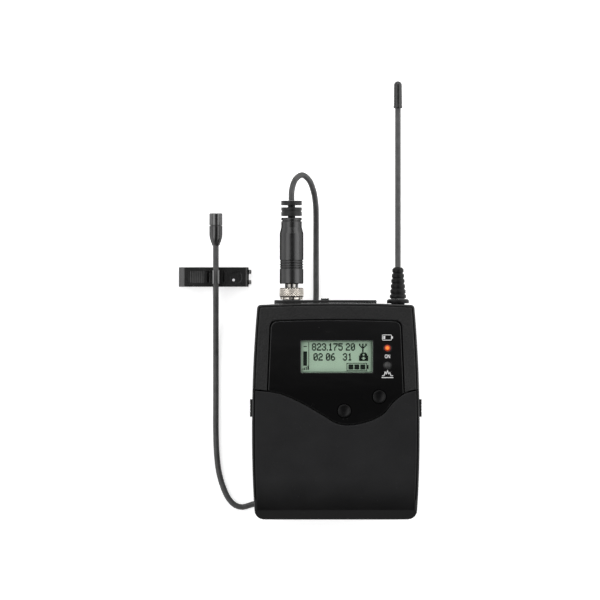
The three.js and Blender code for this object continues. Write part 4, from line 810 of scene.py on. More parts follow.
@dataclass(frozen=True)
class PolishedPlastic(Finish):
    """Polished plastic under a clear coat, with smears, hairlines and a little dust."""

    coat: float = 0.6
    smear: float = 0.10  # how much rougher a smear is
    hairline: float = 0.10
    dust: float = 0.10
    dust_colour: Triple = grey(0.3)
    smear_depth: float = 0.002  # mm

    def dress(self, tree: Tree) -> None:
        """Adds the coat and the marks on it.

        Args:
            tree: The material's tree.
        """
        marks = tree.shared("marks", Marks_per_metre=45.0, Dust_share=0.03)
        # the colour gets the painted light and shade along y that the finish asks for
        base = self.with_painted_shade(tree, tree.blend(marks["Smears"], rgb(self.colour), rgb(self.colour, 1.12)))
        hazy = tree.plus(self.roughness, tree.times(marks["Smears"], self.smear))
        tree.feed(
            Base_Color=tree.blend(tree.times(marks["Dust"], self.dust), base, rgb(self.dust_colour)),
            Roughness=tree.plus(hazy, tree.times(marks["Hairlines"], self.hairline)),
            Coat_Weight=self.coat,
            Coat_Roughness=0.06,
            Normal=tree.bump(marks["Smears"], self.smear_depth),
        )


@dataclass(frozen=True)
class SoftRubber(Finish):
    """Rubber or a soft cable jacket: dull, a little mottled, with fine lines along a cable."""

    along: bool = False
    depth: float = 0.006  # mm
    swing: float = 0.06  # of the roughness, to either side
    bloom: float = 0.05
    bloom_colour: Triple = grey(0.12)

    def dress(self, tree: Tree) -> None:
        """Adds the mottling, and on a cable the lines of its extrusion.

        Args:
            tree: The material's tree.
        """
        place = tree.place()
        mottle = tree.ramp(tree.noise(place, 420.0, 4.0), 0.3, 0.7)
        colour = tree.blend(mottle, rgb(self.colour, 0.8), rgb(self.colour, 1.25))
        bloom = tree.ramp(tree.noise(place, 55.0), 0.5, 0.8, 0.0, self.bloom)
        height = tree.noise(place, 3800.0, 2.0)
        if self.along:
            lengthwise = tree.mapped(tree.add("ShaderNodeTexCoord").outputs["UV"], (60.0, 0.04, 1.0))
            height = tree.plus(height, tree.times(tree.noise(lengthwise, 1.0, 2.0), 1.2))
        tree.feed(
            Base_Color=tree.blend(bloom, colour, rgb(self.bloom_colour)),
            Roughness=tree.ramp(mottle, 0.0, 1.0, self.roughness - self.swing, self.roughness + self.swing),
            Normal=tree.bump(height, self.depth),
        )


@dataclass(frozen=True)
class BareMetal(Finish):
    """Plated, drawn or turned metal, with its working lines across a chosen direction."""

    stretch: Triple = (1.0, 0.03, 1.0)
    lines: float = 5200.0
    tarnish: Triple = (0.30, 0.26, 0.20)
    tarnished: float = 0.25
    depth: float = 0.004  # mm

    def dress(self, tree: Tree) -> None:
        """Adds the working lines and a breath of tarnish.

        Args:
            tree: The material's tree.
        """
        place = tree.place()
        lines = tree.shared("lines", Place=tree.mapped(place, self.stretch), Lines_per_metre=self.lines)
        worn = tree.ramp(tree.noise(place, 340.0, 4.0), 0.45, 0.75, 0.0, self.tarnished)
        bright = tree.blend(lines["Streaks"], rgb(self.colour, 0.86), rgb(self.colour, 1.08))
        rough = tree.ramp(lines["Streaks"], 0.0, 1.0, self.roughness + 0.07, self.roughness - 0.05)
        tree.feed(
            Base_Color=tree.blend(worn, bright, rgb(self.tarnish)),
            Roughness=tree.plus(rough, tree.times(worn, 0.4)),
            Metallic=1.0,
            Normal=tree.bump(lines["Height"], self.depth),
        )


@dataclass(frozen=True)
class BlackCoating(Finish):
    """Satin black coating on metal, thin enough that handling brightens it a little."""

    grains: float = 7000.0
    depth: float = 0.005  # mm
    unevenness: float = 0.12
    worn: float = 0.25
    worn_colour: Triple = (0.06, 0.06, 0.062)
    metal: float = 0.0  # how much the metal under the coating shows in the gloss
    edge: float = 1.0  # how bright its gloss is where it is seen along the surface

    def dress(self, tree: Tree) -> None:
        """Adds the coating's grain and its polished spots.

        Args:
            tree: The material's tree.
        """
        colour = {"Colour": rgb(self.colour), "Roughness": self.roughness}
        grain = tree.shared("grain", **colour, Grains_per_metre=self.grains, Unevenness=self.unevenness)
        marks = tree.shared("marks", Marks_per_metre=240.0, Dust_share=0.05)
        rubbed = tree.times(marks["Smears"], self.worn)
        tree.feed(
            Base_Color=tree.blend(rubbed, grain["Colour"], rgb(self.worn_colour)),
            Roughness=tree.plus(grain["Roughness"], tree.times(rubbed, -0.25)),
            Metallic=self.metal,
            Specular_Tint=rgb(grey(self.edge)),
            Normal=tree.bump(grain["Height"], self.depth),
        )


@dataclass(frozen=True)
class ClearWindow(Finish):
    """A clear, glossy window that lets what lies under it show."""

    opacity: float = 0.10
    smear: float = 0.06
    dust: float = 0.10

    def dress(self, tree: Tree) -> None:
        """Makes the window see-through, with faint smears in its gloss.

        Args:
            tree: The material's tree.
        """
        marks = tree.shared("marks", Marks_per_metre=90.0, Dust_share=0.03)
        rough = tree.plus(self.roughness, tree.times(marks["Smears"], self.smear))
        tree.feed(Roughness=rough, Alpha=tree.plus(self.opacity, tree.times(marks["Dust"], self.dust)))


@dataclass(frozen=True)
class Lamp(Finish):
    """A lamp's lens: its colour is stronger towards a hot middle, and a lit one glows."""

    middle: Triple = (0.0, 0.0, 0.0)
    reach: float = 1.008  # of the hot middle (mm)
    hot: Triple = (1.0, 0.34, 0.10)
    glow: float = 0.0
    coat: float = 0.4

    def dress(self, tree: Tree) -> None:
        """Adds the hot middle and the glow.

        Args:
            tree: The material's tree.
        """
        place = tree.place()
        spot = tree.centred(place, self.middle)
        flat = tree.add("ShaderNodeVectorMath", {"operation": "MULTIPLY"}, i0=spot, i1=(1.0, 1.0, 0.0)).outputs[0]
        far = tree.add("ShaderNodeVectorMath", {"operation": "LENGTH"}, i0=flat).outputs["Value"]
        colour = tree.blend(tree.ramp(far, 0.0, self.reach * MM, 1.0, 0.0), rgb(self.colour), rgb(self.hot))
        mottle = tree.ramp(tree.noise(place, 2600.0, 2.0), 0.3, 0.7, 0.9, 1.1)
        tree.feed(Base_Color=tree.blend(1.0, colour, mottle, "MULTIPLY"), Coat_Weight=self.coat)
        if self.glow:
            tree.feed(Emission_Color=colour, Emission_Strength=self.glow)


@dataclass(frozen=True)
class LiquidCrystal(Finish):
    """The pale film behind the window, with painted shade making it a little darker to its edges, and its fine dot
    lattice.
    """

    middle: Triple = (0.0, 0.0, 0.0)
    size: Pair = (27.3, 12.2)
    lattice: float = 0.21  # mm
    beyond: Triple = grey(0.01)  # what shows outside the film

    def dress(self, tree: Tree) -> None:
        """Adds the painted shade towards the edges, a faint random cloud, and the dot lattice.

        Args:
            tree: The material's tree.
        """
        place = tree.place()
        x, y, _ = tree.add("ShaderNodeSeparateXYZ", i0=tree.centred(place, self.middle)).outputs
        across, up = (
            tree.math("ABSOLUTE", tree.times(way, 2 / (size * MM))) for way, size in zip((x, y), self.size)
        )
        # Painted shade: the film darkens towards its edges, where the frame round the window shades it.
        edge = tree.math("POWER", tree.math("MAXIMUM", across, up), 5.0)
        cloud = tree.ramp(tree.noise(place, 160.0, 2.0), 0.3, 0.7, -0.05, 0.05)
        shade = tree.plus(tree.times(edge, 0.30), cloud)
        colour = tree.blend(shade, rgb(self.colour), rgb(self.colour, 0.45))
        checks = tree.add("ShaderNodeTexChecker", Vector=place, Scale=1.0 / (self.lattice * MM)).outputs[1]
        dots = tree.blend(tree.times(checks, 0.05), colour, rgb(self.colour, 0.6))
        outside = tree.ramp(tree.math("MAXIMUM", across, up), 1.0, 1.02)
        tree.feed(Base_Color=tree.blend(outside, dots, rgb(self.beyond)))


@dataclass(frozen=True)
class Print(Finish):
    """Ink on a surface, with the slight unevenness of screen printing."""

    def dress(self, tree: Tree) -> None:
        """Adds the ink's unevenness.

        Args:
            tree: The material's tree.
        """
        ink = tree.ramp(tree.noise(tree.place(), 3200.0), 0.3, 0.7)
        colour = tree.blend(ink, rgb(self.colour, 0.88), rgb(self.colour))
        tree.feed(Base_Color=colour, Normal=tree.bump(ink, 0.002))


@dataclass(frozen=True)
class Mesh(Finish):
    """Woven wire mesh over the microphone's mouth."""

    pitch: float = 0.14  # mm
    gap_colour: Triple = grey(0.004)

    def dress(self, tree: Tree) -> None:
        """Weaves wires both ways across x and z.

        Args:
            tree: The material's tree.
        """
        x, _, z = tree.add("ShaderNodeSeparateXYZ", i0=tree.place()).outputs
        wave = 2 * math.pi / (self.pitch * MM)
        one, other = (tree.math("SINE", tree.times(way, wave)) for way in (x, z))
        wires = tree.ramp(tree.math("MAXIMUM", one, other), -0.2, 0.9)
        colour = tree.blend(wires, rgb(self.gap_colour), rgb(self.colour))
        tree.feed(Base_Color=colour, Metallic=0.9, Normal=tree.bump(wires, 0.05))


MOULDED = MouldedPlastic(
    "moulded black", "case_shell", (0.0160, 0.0160, 0.0162), 0.42, specular=0.28, grains=1700,
    depth=0.13,
)
# Painted shade: the door keeps its dark written tone near its bottom and is made seven times lighter higher up, as
# light falls down the door.
DOOR_PLASTIC = MouldedPlastic(
    "moulded black door", "door_shell", (0.0022, 0.0022, 0.0023), 0.42, specular=0.18,
    painted_shade=(-80, -68, 7.0),
)
# Painted light: the panel keeps its written tone low down and is made 2.8 times lighter towards its top, as light
# falls down the panel.
PANEL_GLOSS = PolishedPlastic(
    "polished panel", "display_gloss", (0.0032, 0.0032, 0.0033), 0.14, specular=0.4,
    painted_shade=(-36, -6, 2.8), coat=0.25,
)
WINDOW = ClearWindow("clear window", "lcd_glass", grey(0.02), 0.03)
FILM = LiquidCrystal("display film", "lcd_film", (0.54, 0.75, 0.56), 0.5, middle=(14.03, -21.5, 0))
PIXEL = Print("display dots", "lcd_film", (0.006, 0.016, 0.010), 0.6, specular=0.2)
LABEL_INK = Print("label ink", "display_gloss", grey(0.80), 0.5)
RED_LAMP = Lamp(
    "lit red lamp", "lamp_red", (0.18, 0.005, 0.001), 0.30, middle=(33.36, -18.2, 0),
    hot=(1.0, 0.26, 0.04), glow=0.9,
)
GREY_LAMP = Lamp(
    "unlit grey lamp", "lamp_grey", grey(0.030), 0.40, middle=(33.36, -24.7, 0),
    hot=(0.066, 0.066, 0.065),
)
BUTTON = MouldedPlastic(
    "button plastic", "button_black", (0.0032, 0.0032, 0.0034), 0.32, specular=0.22, grains=7000,
    depth=0.005,
)
SWITCH_PLASTIC = MouldedPlastic("switch plastic", "switch_plastic", grey(0.010), 0.5)
RUBBER = SoftRubber("soft rubber", "soft_rubber", grey(0.009), 0.42, specular=0.35)
NICKEL = BareMetal("bright nickel", "nickel", (0.84, 0.79, 0.72), 0.32)
# Painted shade: a darker copy of the nickel, for the nut's body between its bright knurl points, where shade falls.
NICKEL_IN_PAINTED_SHADE = BareMetal("nickel in painted shade", "nickel", (0.07, 0.062, 0.055), 0.42)
TURNED_NICKEL = BareMetal(
    "turned nickel", "nickel", (0.44, 0.43, 0.408), 0.26, stretch=(0.05, 1.0, 0.05), lines=6000,
)
PLUG_BLACK = BlackCoating(
    "satin plug body", "plug_black", (0.072, 0.072, 0.0724), 0.30, worn=0.1, metal=0.90, edge=0.08,
)
ANTENNA = SoftRubber("antenna sleeve", "antenna_sleeve", grey(0.088), 0.36, specular=0.35, depth=0.003)
ANTENNA_TIP = SoftRubber("antenna tip", "antenna_sleeve", grey(0.018), 0.26, specular=0.60, depth=0.003)
BOOT = SoftRubber("antenna boot", "antenna_sleeve", grey(0.0036), 0.46, specular=0.24, depth=0.004)
WIRE = BareMetal("drawn spring wire", "spring_steel", (0.60, 0.59, 0.57), 0.26)
SCREW_STEEL = BareMetal("blackened screw", "screw_steel", (0.10, 0.10, 0.105), 0.36, stretch=(1, 1, 0.05))
MIC_BLACK = BlackCoating(
    "microphone coating", "mic_black", (0.090, 0.090, 0.0905), 0.19, worn=0.1, metal=0.88,
    edge=0.12,
)
MIC_CAP = BlackCoating("microphone cap coating", "mic_black", grey(0.134), 0.19, worn=0.1, metal=0.88, edge=0.12)
# Dark inside of the microphone; also painted shade in the lock nut's notches.
DARK_INSIDE_AND_NOTCH_SHADE = SoftRubber("microphone inside and notch shade", "mic_black", grey(0.004), 0.7, specular=0.2)
SCREEN = Mesh("woven mouth mesh", "screen_steel", grey(0.30), 0.4)
CLIP_BLACK = BlackCoating(
    "blackened spring sheet", "clip_black", (0.078, 0.078, 0.0782), 0.24, worn=0.15, specular=0.3,
    metal=0.8, edge=0.15,
)
CLIP_WORN = BareMetal("worn clip edge", "clip_black", grey(0.52), 0.38)
HOLDER_BLACK = BlackCoating("dark plated holder", "holder_black", grey(0.13), 0.24, worn=0.2, metal=0.95, edge=0.2)
JACKET = SoftRubber("cable jacket", "cable_jacket", grey(0.078), 0.36, specular=0.35, along=True, depth=0.003)
BOARD = MouldedPlastic("board lacquer", "circuit_board", (0.012, 0.075, 0.035), 0.35, depth=0.002)
TINNED = BareMetal("tinned sheet", "tinned_steel", (0.62, 0.61, 0.58), 0.30, stretch=(1, 0.05, 1))
CELL = PolishedPlastic("cell sleeve", "cell_sleeve", (0.05, 0.16, 0.36), 0.28, coat=0.3)
GOLD = BareMetal("gilt contact", "contact_gold", (0.85, 0.62, 0.28), 0.22)


# ---------------- lines in space


def centripetal(knots: Sequence[Triple], spacing: float) -> list[Vector]:
    """Points of a centripetal curve through knots, about evenly spaced.

    Args:
        knots: The points that the curve passes through (mm).
        spacing: How far apart the points are (mm).

    Returns:
        The points, both ends included.
    """
    marks = [Vector(k) for k in knots]
    ends = [marks[0] * 2 - marks[1], *marks, marks[-1] * 2 - marks[-2]]
    points = [marks[0]]
    for p0, p1, p2, p3 in zip(ends, ends[1:], ends[2:], ends[3:]):
        d0, d1, d2 = (math.sqrt((b - a).length) for a, b in ((p0, p1), (p1, p2), (p2, p3)))
        v0 = (p1 - p0) / d0 - (p2 - p0) / (d0 + d1) + (p2 - p1) / d1
        v1 = (p2 - p1) / d1 - (p3 - p1) / (d1 + d2) + (p3 - p2) / d2
        v0, v1 = v0 * d1, v1 * d1
        steps = max(1, round((p2 - p1).length / spacing))
        for step in range(1, steps + 1):
            t = step / steps
            cubic = (2 * p1 - 2 * p2 + v0 + v1) * t**3 + (-3 * p1 + 3 * p2 - 2 * v0 - v1) * t**2
            points.append(cubic + v0 * t + p1)
    return points


def rounded_line(knots: Sequence[Triple], bend: float, steps: int) -> list[Vector]:
    """Points of a line whose inner corners are drawn as curves.

    Args:
        knots: The line's corners and ends (mm).
        bend: How far a curve reaches (mm).
        steps: How many stretches it has.

    Returns:
        The points, both ends included.
    """
    marks = [Vector(k) for k in knots]
    points = [marks[0]]
    for before, corner, after in zip(marks, marks[1:], marks[2:]):
        to_before, to_after = (before - corner), (after - corner)
        reach = min(bend, 0.48 * to_before.length, 0.48 * to_after.length)
        start, end = corner + to_before.normalized() * reach, corner + to_after.normalized() * reach
        for step in range(steps + 1):
            t = step / steps
            points.append(start * (1 - t) ** 2 + corner * 2 * t * (1 - t) + end * t * t)
    points.append(marks[-1])
    return points


# ---------------- studio and cable


@dataclass
class Studio:
    """Camera, lights and the white table. Sizes are in metres."""

    half_width: float = 0.11442  # of the picture, at the focus
    focus: float = 0.0346  # height of the set's front
    distance: float = 8.0
    half_table: float = 3.0
    white: float = 0.86
    backdrop: float = 1.0
    glow: float = 0.65  # makes the table white in the picture, in gloss and through glass, and lights nothing
    lamps: tuple[tuple[str, Triple, Pair, float], ...] = (  # name, place, size and power (W)
        ("left lamp", (-0.89, 0.25, 1.37), (2.4, 1.1), 13.0),
        ("right lamp", (1.30, 0.25, 0.98), (2.4, 1.4), 16.0),
        ("top lamp", (0.0, 1.6, 1.0), (1.6, 0.4), 7.0),
    )

    def camera(self) -> None:
        """Places the camera straight above the set, as the photographed side shows it."""
        data = bpy.data.cameras.new("camera")
        data.sensor_width = 36
        data.sensor_fit = "AUTO"
        data.angle = 2 * math.atan(self.half_width / (self.distance - self.focus))
        data.clip_start, data.clip_end = 0.1, 20
        obj = placed("camera", data)
        obj.location = (0, 0.0001, self.distance)
        bpy.context.scene.camera = obj

    def table(self) -> None:
        """Lays the white table that the set rests on."""
        half = self.half_table
        mesh = bpy.data.meshes.new("table")
        mesh.from_pydata([(-half, -half, 0), (half, -half, 0), (half, half, 0), (-half, half, 0)], [], [(0, 1, 2, 3)])
        material = bpy.data.materials.new("white table")
        material.use_nodes = True
        tree = Tree(material.node_tree)
        white = tree.add("ShaderNodeBsdfDiffuse", Color=rgb(grey(self.white)))
        lit = tree.add("ShaderNodeEmission", Color=(1, 1, 1, 1), Strength=self.glow)
        both = tree.add("ShaderNodeAddShader", i0=white.outputs[0], i1=lit.outputs[0])
        mix = tree.add("ShaderNodeMixShader", i0=tree.seen(), i1=white.outputs[0], i2=both.outputs[0])
        tree.add("ShaderNodeOutputMaterial", Surface=mix.outputs[0])
        mesh.materials.append(material)
        placed("table", mesh)

    def sky(self) -> None:
        """Fills the studio with light that is dim overhead and bright to the sides."""
        world = bpy.data.worlds.new("studio")
        bpy.context.scene.world = world
        world.use_nodes = True
        tree = Tree(world.node_tree)
        place = tree.add("ShaderNodeTexCoord").outputs["Generated"]
        height = tree.add("ShaderNodeSeparateXYZ", i0=place).outputs[2]
        lighting = tree.ramp(height, 0.55, 0.93, 0.50, 0.03)
        backdrop = tree.ramp(height, 0.25, 0.80, self.backdrop, 0.03)
        sides = tree.add("ShaderNodeBackground", Color=(1, 1, 1, 1), Strength=lighting)
        plain = tree.add("ShaderNodeBackground", Color=(1, 1, 1, 1), Strength=backdrop)
        mix = tree.add("ShaderNodeMixShader", i0=tree.seen(), i1=sides.outputs[0], i2=plain.outputs[0])
        tree.add("ShaderNodeOutputWorld", Surface=mix.outputs[0])

    def lamp(self, name: str, place: Triple, size: Pair, power: float) -> None:
        """Hangs a soft lamp that faces the middle of the set.

        Args:
            name: The lamp's name.
            place: Where it hangs (m).
            size: Its width and depth (m).
            power: Its power (W).
        """
        data = bpy.data.lights.new(name, "AREA")
        data.shape = "RECTANGLE"
        data.size, data.size_y = size
        data.energy = power
        obj = placed(name, data)
        obj.location = place
        obj.rotation_euler = Vector(place).to_track_quat("Z", "Y").to_euler()

    def build(self) -> None:
        """Sets up the whole studio."""
        bpy.context.scene.view_settings.view_transform = "Standard"
        self.camera()
        self.table()
        self.sky()
        for lamp in self.lamps:
            self.lamp(*lamp)


@dataclass
class Cable:
    """The thin cable: from the microphone's tail round a stowed coil behind the case, to the plug."""

    radius: float = 1.12
    lying: float = 1.15  # height of its middle where it lies on the table
    middle: Pair = (13.66, -52.0)  # of the coil
    inner: float = 6.9  # the coil's least and greatest radius
    outer: float = 17.95
    turns: int = 17
    layers: int = 4
    pitch: float = 2.6  # of the layers
    steps: int = 44  # points to a turn
    straight: float = 2.1  # run at each end of the coil
    tail: Triple = (-32.2, 21.3, 7.4)
    real_length: float = 1.6  # metres
    drop: tuple[Pair, ...] = (  # y and z from the microphone down to the table
        (21.3, 7.4), (14, 7.4), (8, 7.4), (4.5, 7.4), (-4, 5.6), (-13, 2.9), (-24, 1.3), (-38, 1.15), (-50, 1.15),
    )
    sweep: tuple[Pair, ...] = (  # x and y from there to the coil
        (-31.9, -58.5), (-31.1, -65.5), (-29.4, -71.6), (-27.3, -76), (-24.8, -78.5), (-22, -79.2), (-18, -78.1),
        (-14, -77.5), (-9.8, -77.5), (-6.6, -76), (-4.9, -73),
    )
    climb: tuple[Triple, ...] = (  # from the coil up behind the case and over to the plug
        (-3.6, -40, 8.6), (-1, -30, 6.9), (2.6, -20, 4.4), (5.2, -10, 2.2), (6.1, 0, 1.25), (6.15, 9, 1.25),
        (6.15, 17, 2.3), (6.15, 24.5, 4.7), (6.15, 31, 8), (6, 36.5, 11.4), (5.2, 41.6, 14.8), (3.4, 46.0, 17.9),
        (0.7, 47.9, 20.2), (-1.8, 46.1, 21.6), (-3.14, 42, 22.4), (-3.24, 39.6, 22.6), (-3.24, 38.1, 22.6),
    )

    def coil(self) -> list[Triple]:
        """Winds the coil: its layers spiral in and out, and climb where they turn back.

        Returns:
            The coil's points.
        """
        a_layer = self.turns / self.layers
        points = []
        for step in range(self.turns * self.steps + 1):
            turn = step / self.steps
            wave = (turn / a_layer) % 2
            radius = self.inner + (self.outer - self.inner) * abs(1 - wave)
            layer = sum(min(max((turn - k * a_layer + 0.25) / 0.5, 0), 1) for k in range(1, self.layers))
            angle = math.pi - 2 * math.pi * turn
            x = self.middle[0] + radius * math.cos(angle)
            y = self.middle[1] + radius * math.sin(angle)
            points.append((x, y, self.lying + layer * self.pitch))
        first, last = points[0], points[-1]
        start = (first[0], first[1] - self.straight, first[2])
        end = (last[0], last[1] + self.straight, last[2])
        return [start, *points, end]

    def before(self, end: Triple) -> list[Triple]:
        """Lays the stretch from the microphone to the coil.

        Args:
            end: The coil's first point.

        Returns:
            The stretch's knots.
        """
        joining = [(end[0], -68), (end[0], -61), (end[0], end[1] - 2.3)]
        flat = [(x, y, self.lying) for x, y in (*self.sweep, *joining)]
        return [(self.tail[0], y, z) for y, z in self.drop] + flat

    def after(self, start: Triple) -> list[Triple]:
        """Returns the knots of the stretch from the coil to the plug."""
        return [(start[0], start[1] + 2.3, start[2]), *self.climb]

    def build(self) -> Piece:
        """Makes the cable as one tube.

        Returns:
            The finished cable.
        """
        coil = self.coil()
        points = centripetal(self.before(coil[0]), 1.5)
        points += [Vector(c) for c in coil]
        points += centripetal(self.after(coil[-1]), 1.0)
        points = [p for i, p in enumerate(points) if i == 0 or (p - points[i - 1]).length > 0.05]
        tube = Solid.tube(points, self.radius, 14)
        cable = tube.piece("fine_cable", JACKET, "cable_mic_side", "cable_coil", "cable_plug_side")
        length = sum((b - a).length for a, b in zip(points, points[1:]))
        log.info("cable: %.0f mm in %d points", length, len(points))
        self.path = [tuple(p * MM) for p in points]
        return cable


# ---------------- repeated shapes


@dataclass(frozen=True)
class Spot:
    """Where a repeated shape goes, how it is turned (radians about x, y, z) and its scale."""

    place: Triple
    turn: Triple = (0.0, 0.0, 0.0)
    size: Triple = (1.0, 1.0, 1.0)


class Repeat:
    """Copies a shape onto spots with Geometry Nodes."""

    tree: bpy.types.NodeTree | None = None

    @classmethod
    def nodes(cls) -> bpy.types.NodeTree:
        """Builds the node tree at its first use.

        Returns:
            The tree.
        """
        if cls.tree:
            return cls.tree
        group = bpy.data.node_groups.new("repeat a shape", "GeometryNodeTree")
        for label, kind in (("Spots", "Geometry"), ("Shape", "Object"), ("Material", "Material")):
            group.interface.new_socket(label, in_out="INPUT", socket_type=f"NodeSocket{kind}")
        group.interface.new_socket("Geometry", in_out="OUTPUT", socket_type="NodeSocketGeometry")
        tree = Tree(group)
        given, end = tree.add("NodeGroupInput").outputs, tree.add("NodeGroupOutput")
        shape = tree.add("GeometryNodeObjectInfo", {"transform_space": "ORIGINAL"}, Object=given["Shape"])
        turn, size = (
            tree.add("GeometryNodeInputNamedAttribute", {"data_type": "FLOAT_VECTOR"}, Name=name).outputs[0]
            for name in ("turn", "size")
        )
        inputs = {"Points": given["Spots"], "Instance": shape.outputs["Geometry"], "Rotation": turn, "Scale": size}
        copies = tree.add("GeometryNodeInstanceOnPoints", **inputs)
        real = tree.add("GeometryNodeRealizeInstances", Geometry=copies.outputs[0])
        dressed = tree.add("GeometryNodeSetMaterial", Geometry=real.outputs[0], Material=given["Material"])
        tree.connect(end, i0=dressed.outputs[0])
        cls.tree = group
        return group

    @classmethod
    def solid(cls, shape: Solid, spots: Sequence[Spot], finish: Finish) -> Solid:
        """Copies a shape onto spots.

        Args:
            shape: The shape, drawn about the origin. It is used up.
            spots: Where the copies go.
            finish: What they are finished in.

        Returns:
            One solid with all the copies.
        """
        mesh = bpy.data.meshes.new("spots")
        mesh.from_pydata([spot.place for spot in spots], [], [])
        for name in ("turn", "size"):
            layer = mesh.attributes.new(name, "FLOAT_VECTOR", "POINT")
            for datum, spot in zip(layer.data, spots):
                datum.vector = getattr(spot, name)
        obj = placed("spots", mesh)
        modifier = obj.modifiers.new("copies", "NODES")
        group = cls.nodes()
        modifier.node_group = group
        sockets = {item.name: item.identifier for item in group.interface.items_tree if item.in_out == "INPUT"}
        modifier[sockets["Shape"]] = shape.obj
        modifier[sockets["Material"]] = finish.material()
        made = Solid(obj)
        made.bake()
        shape.scrap()
        return made

    @classmethod
    def ring(cls, shape: Solid, count: int, middle: Pair, radius: float, finish: Finish) -> Solid:
        """Copies a shape round a line along y.

        Args:
            shape: The shape, drawn about the line. It is used up.
            count: How many copies there are.
            middle: The line's x and z.
            radius: How far from the line they are.
            finish: What they are finished in.

        Returns:
            One solid with all the copies.
        """
        spots = []
        for step in range(count):
            angle = 2 * math.pi * step / count
            place = (middle[0] + radius * math.sin(angle), 0, middle[1] + radius * math.cos(angle))
            spots.append(Spot(place, (0, angle, 0)))
        return cls.solid(shape, spots, finish)


def lettering(text: str, height: float, middle: Triple, narrow: float = 1.0) -> Solid:
    """Makes flat capitals or numerals.

    Args:
        text: The signs.
        height: Their height.
        middle: The middle of the word.
        narrow: The share by which it is narrowed.

    Returns:
        The letters.
    """
    curve = bpy.data.curves.new("lettering", "FONT")
    curve.body = text
    curve.size = height / 0.70
    curve.align_x, curve.align_y = "CENTER", "CENTER"
    curve.extrude = 0.006
    curve.offset = 0.035 * height
    curve.resolution_u = 4
    obj = placed("lettering", curve)
    view = bpy.context.evaluated_depsgraph_get()
    mesh = bpy.data.meshes.new_from_object(obj.evaluated_get(view), depsgraph=view)
    bpy.data.objects.remove(obj)
    bpy.data.curves.remove(curve)
    letters = Solid(placed("lettering", mesh))
    ys = [v.co.y for v in mesh.vertices]
    shift = -(min(ys) + max(ys)) / 2
    letters.moved(Matrix.Diagonal((narrow, 1.0, 1.0, 1.0)))
    return letters.moved(Matrix.Translation((middle[0], middle[1] + shift, middle[2])))


def together(*solids: Solid) -> Solid:
    """Gathers solids in one mesh as they are, without a boolean.

    Args:
        *solids: The solids. They are used up.

    Returns:
        The first, with all the others in it.
    """
    draft = bmesh.new()
    for solid in solids:
        draft.from_mesh(solid.obj.data)
    first = solids[0]
    draft.to_mesh(first.obj.data)
    draft.free()
    for solid in solids[1:]:
        solid.scrap()
    return first


# ---------------- transmitter


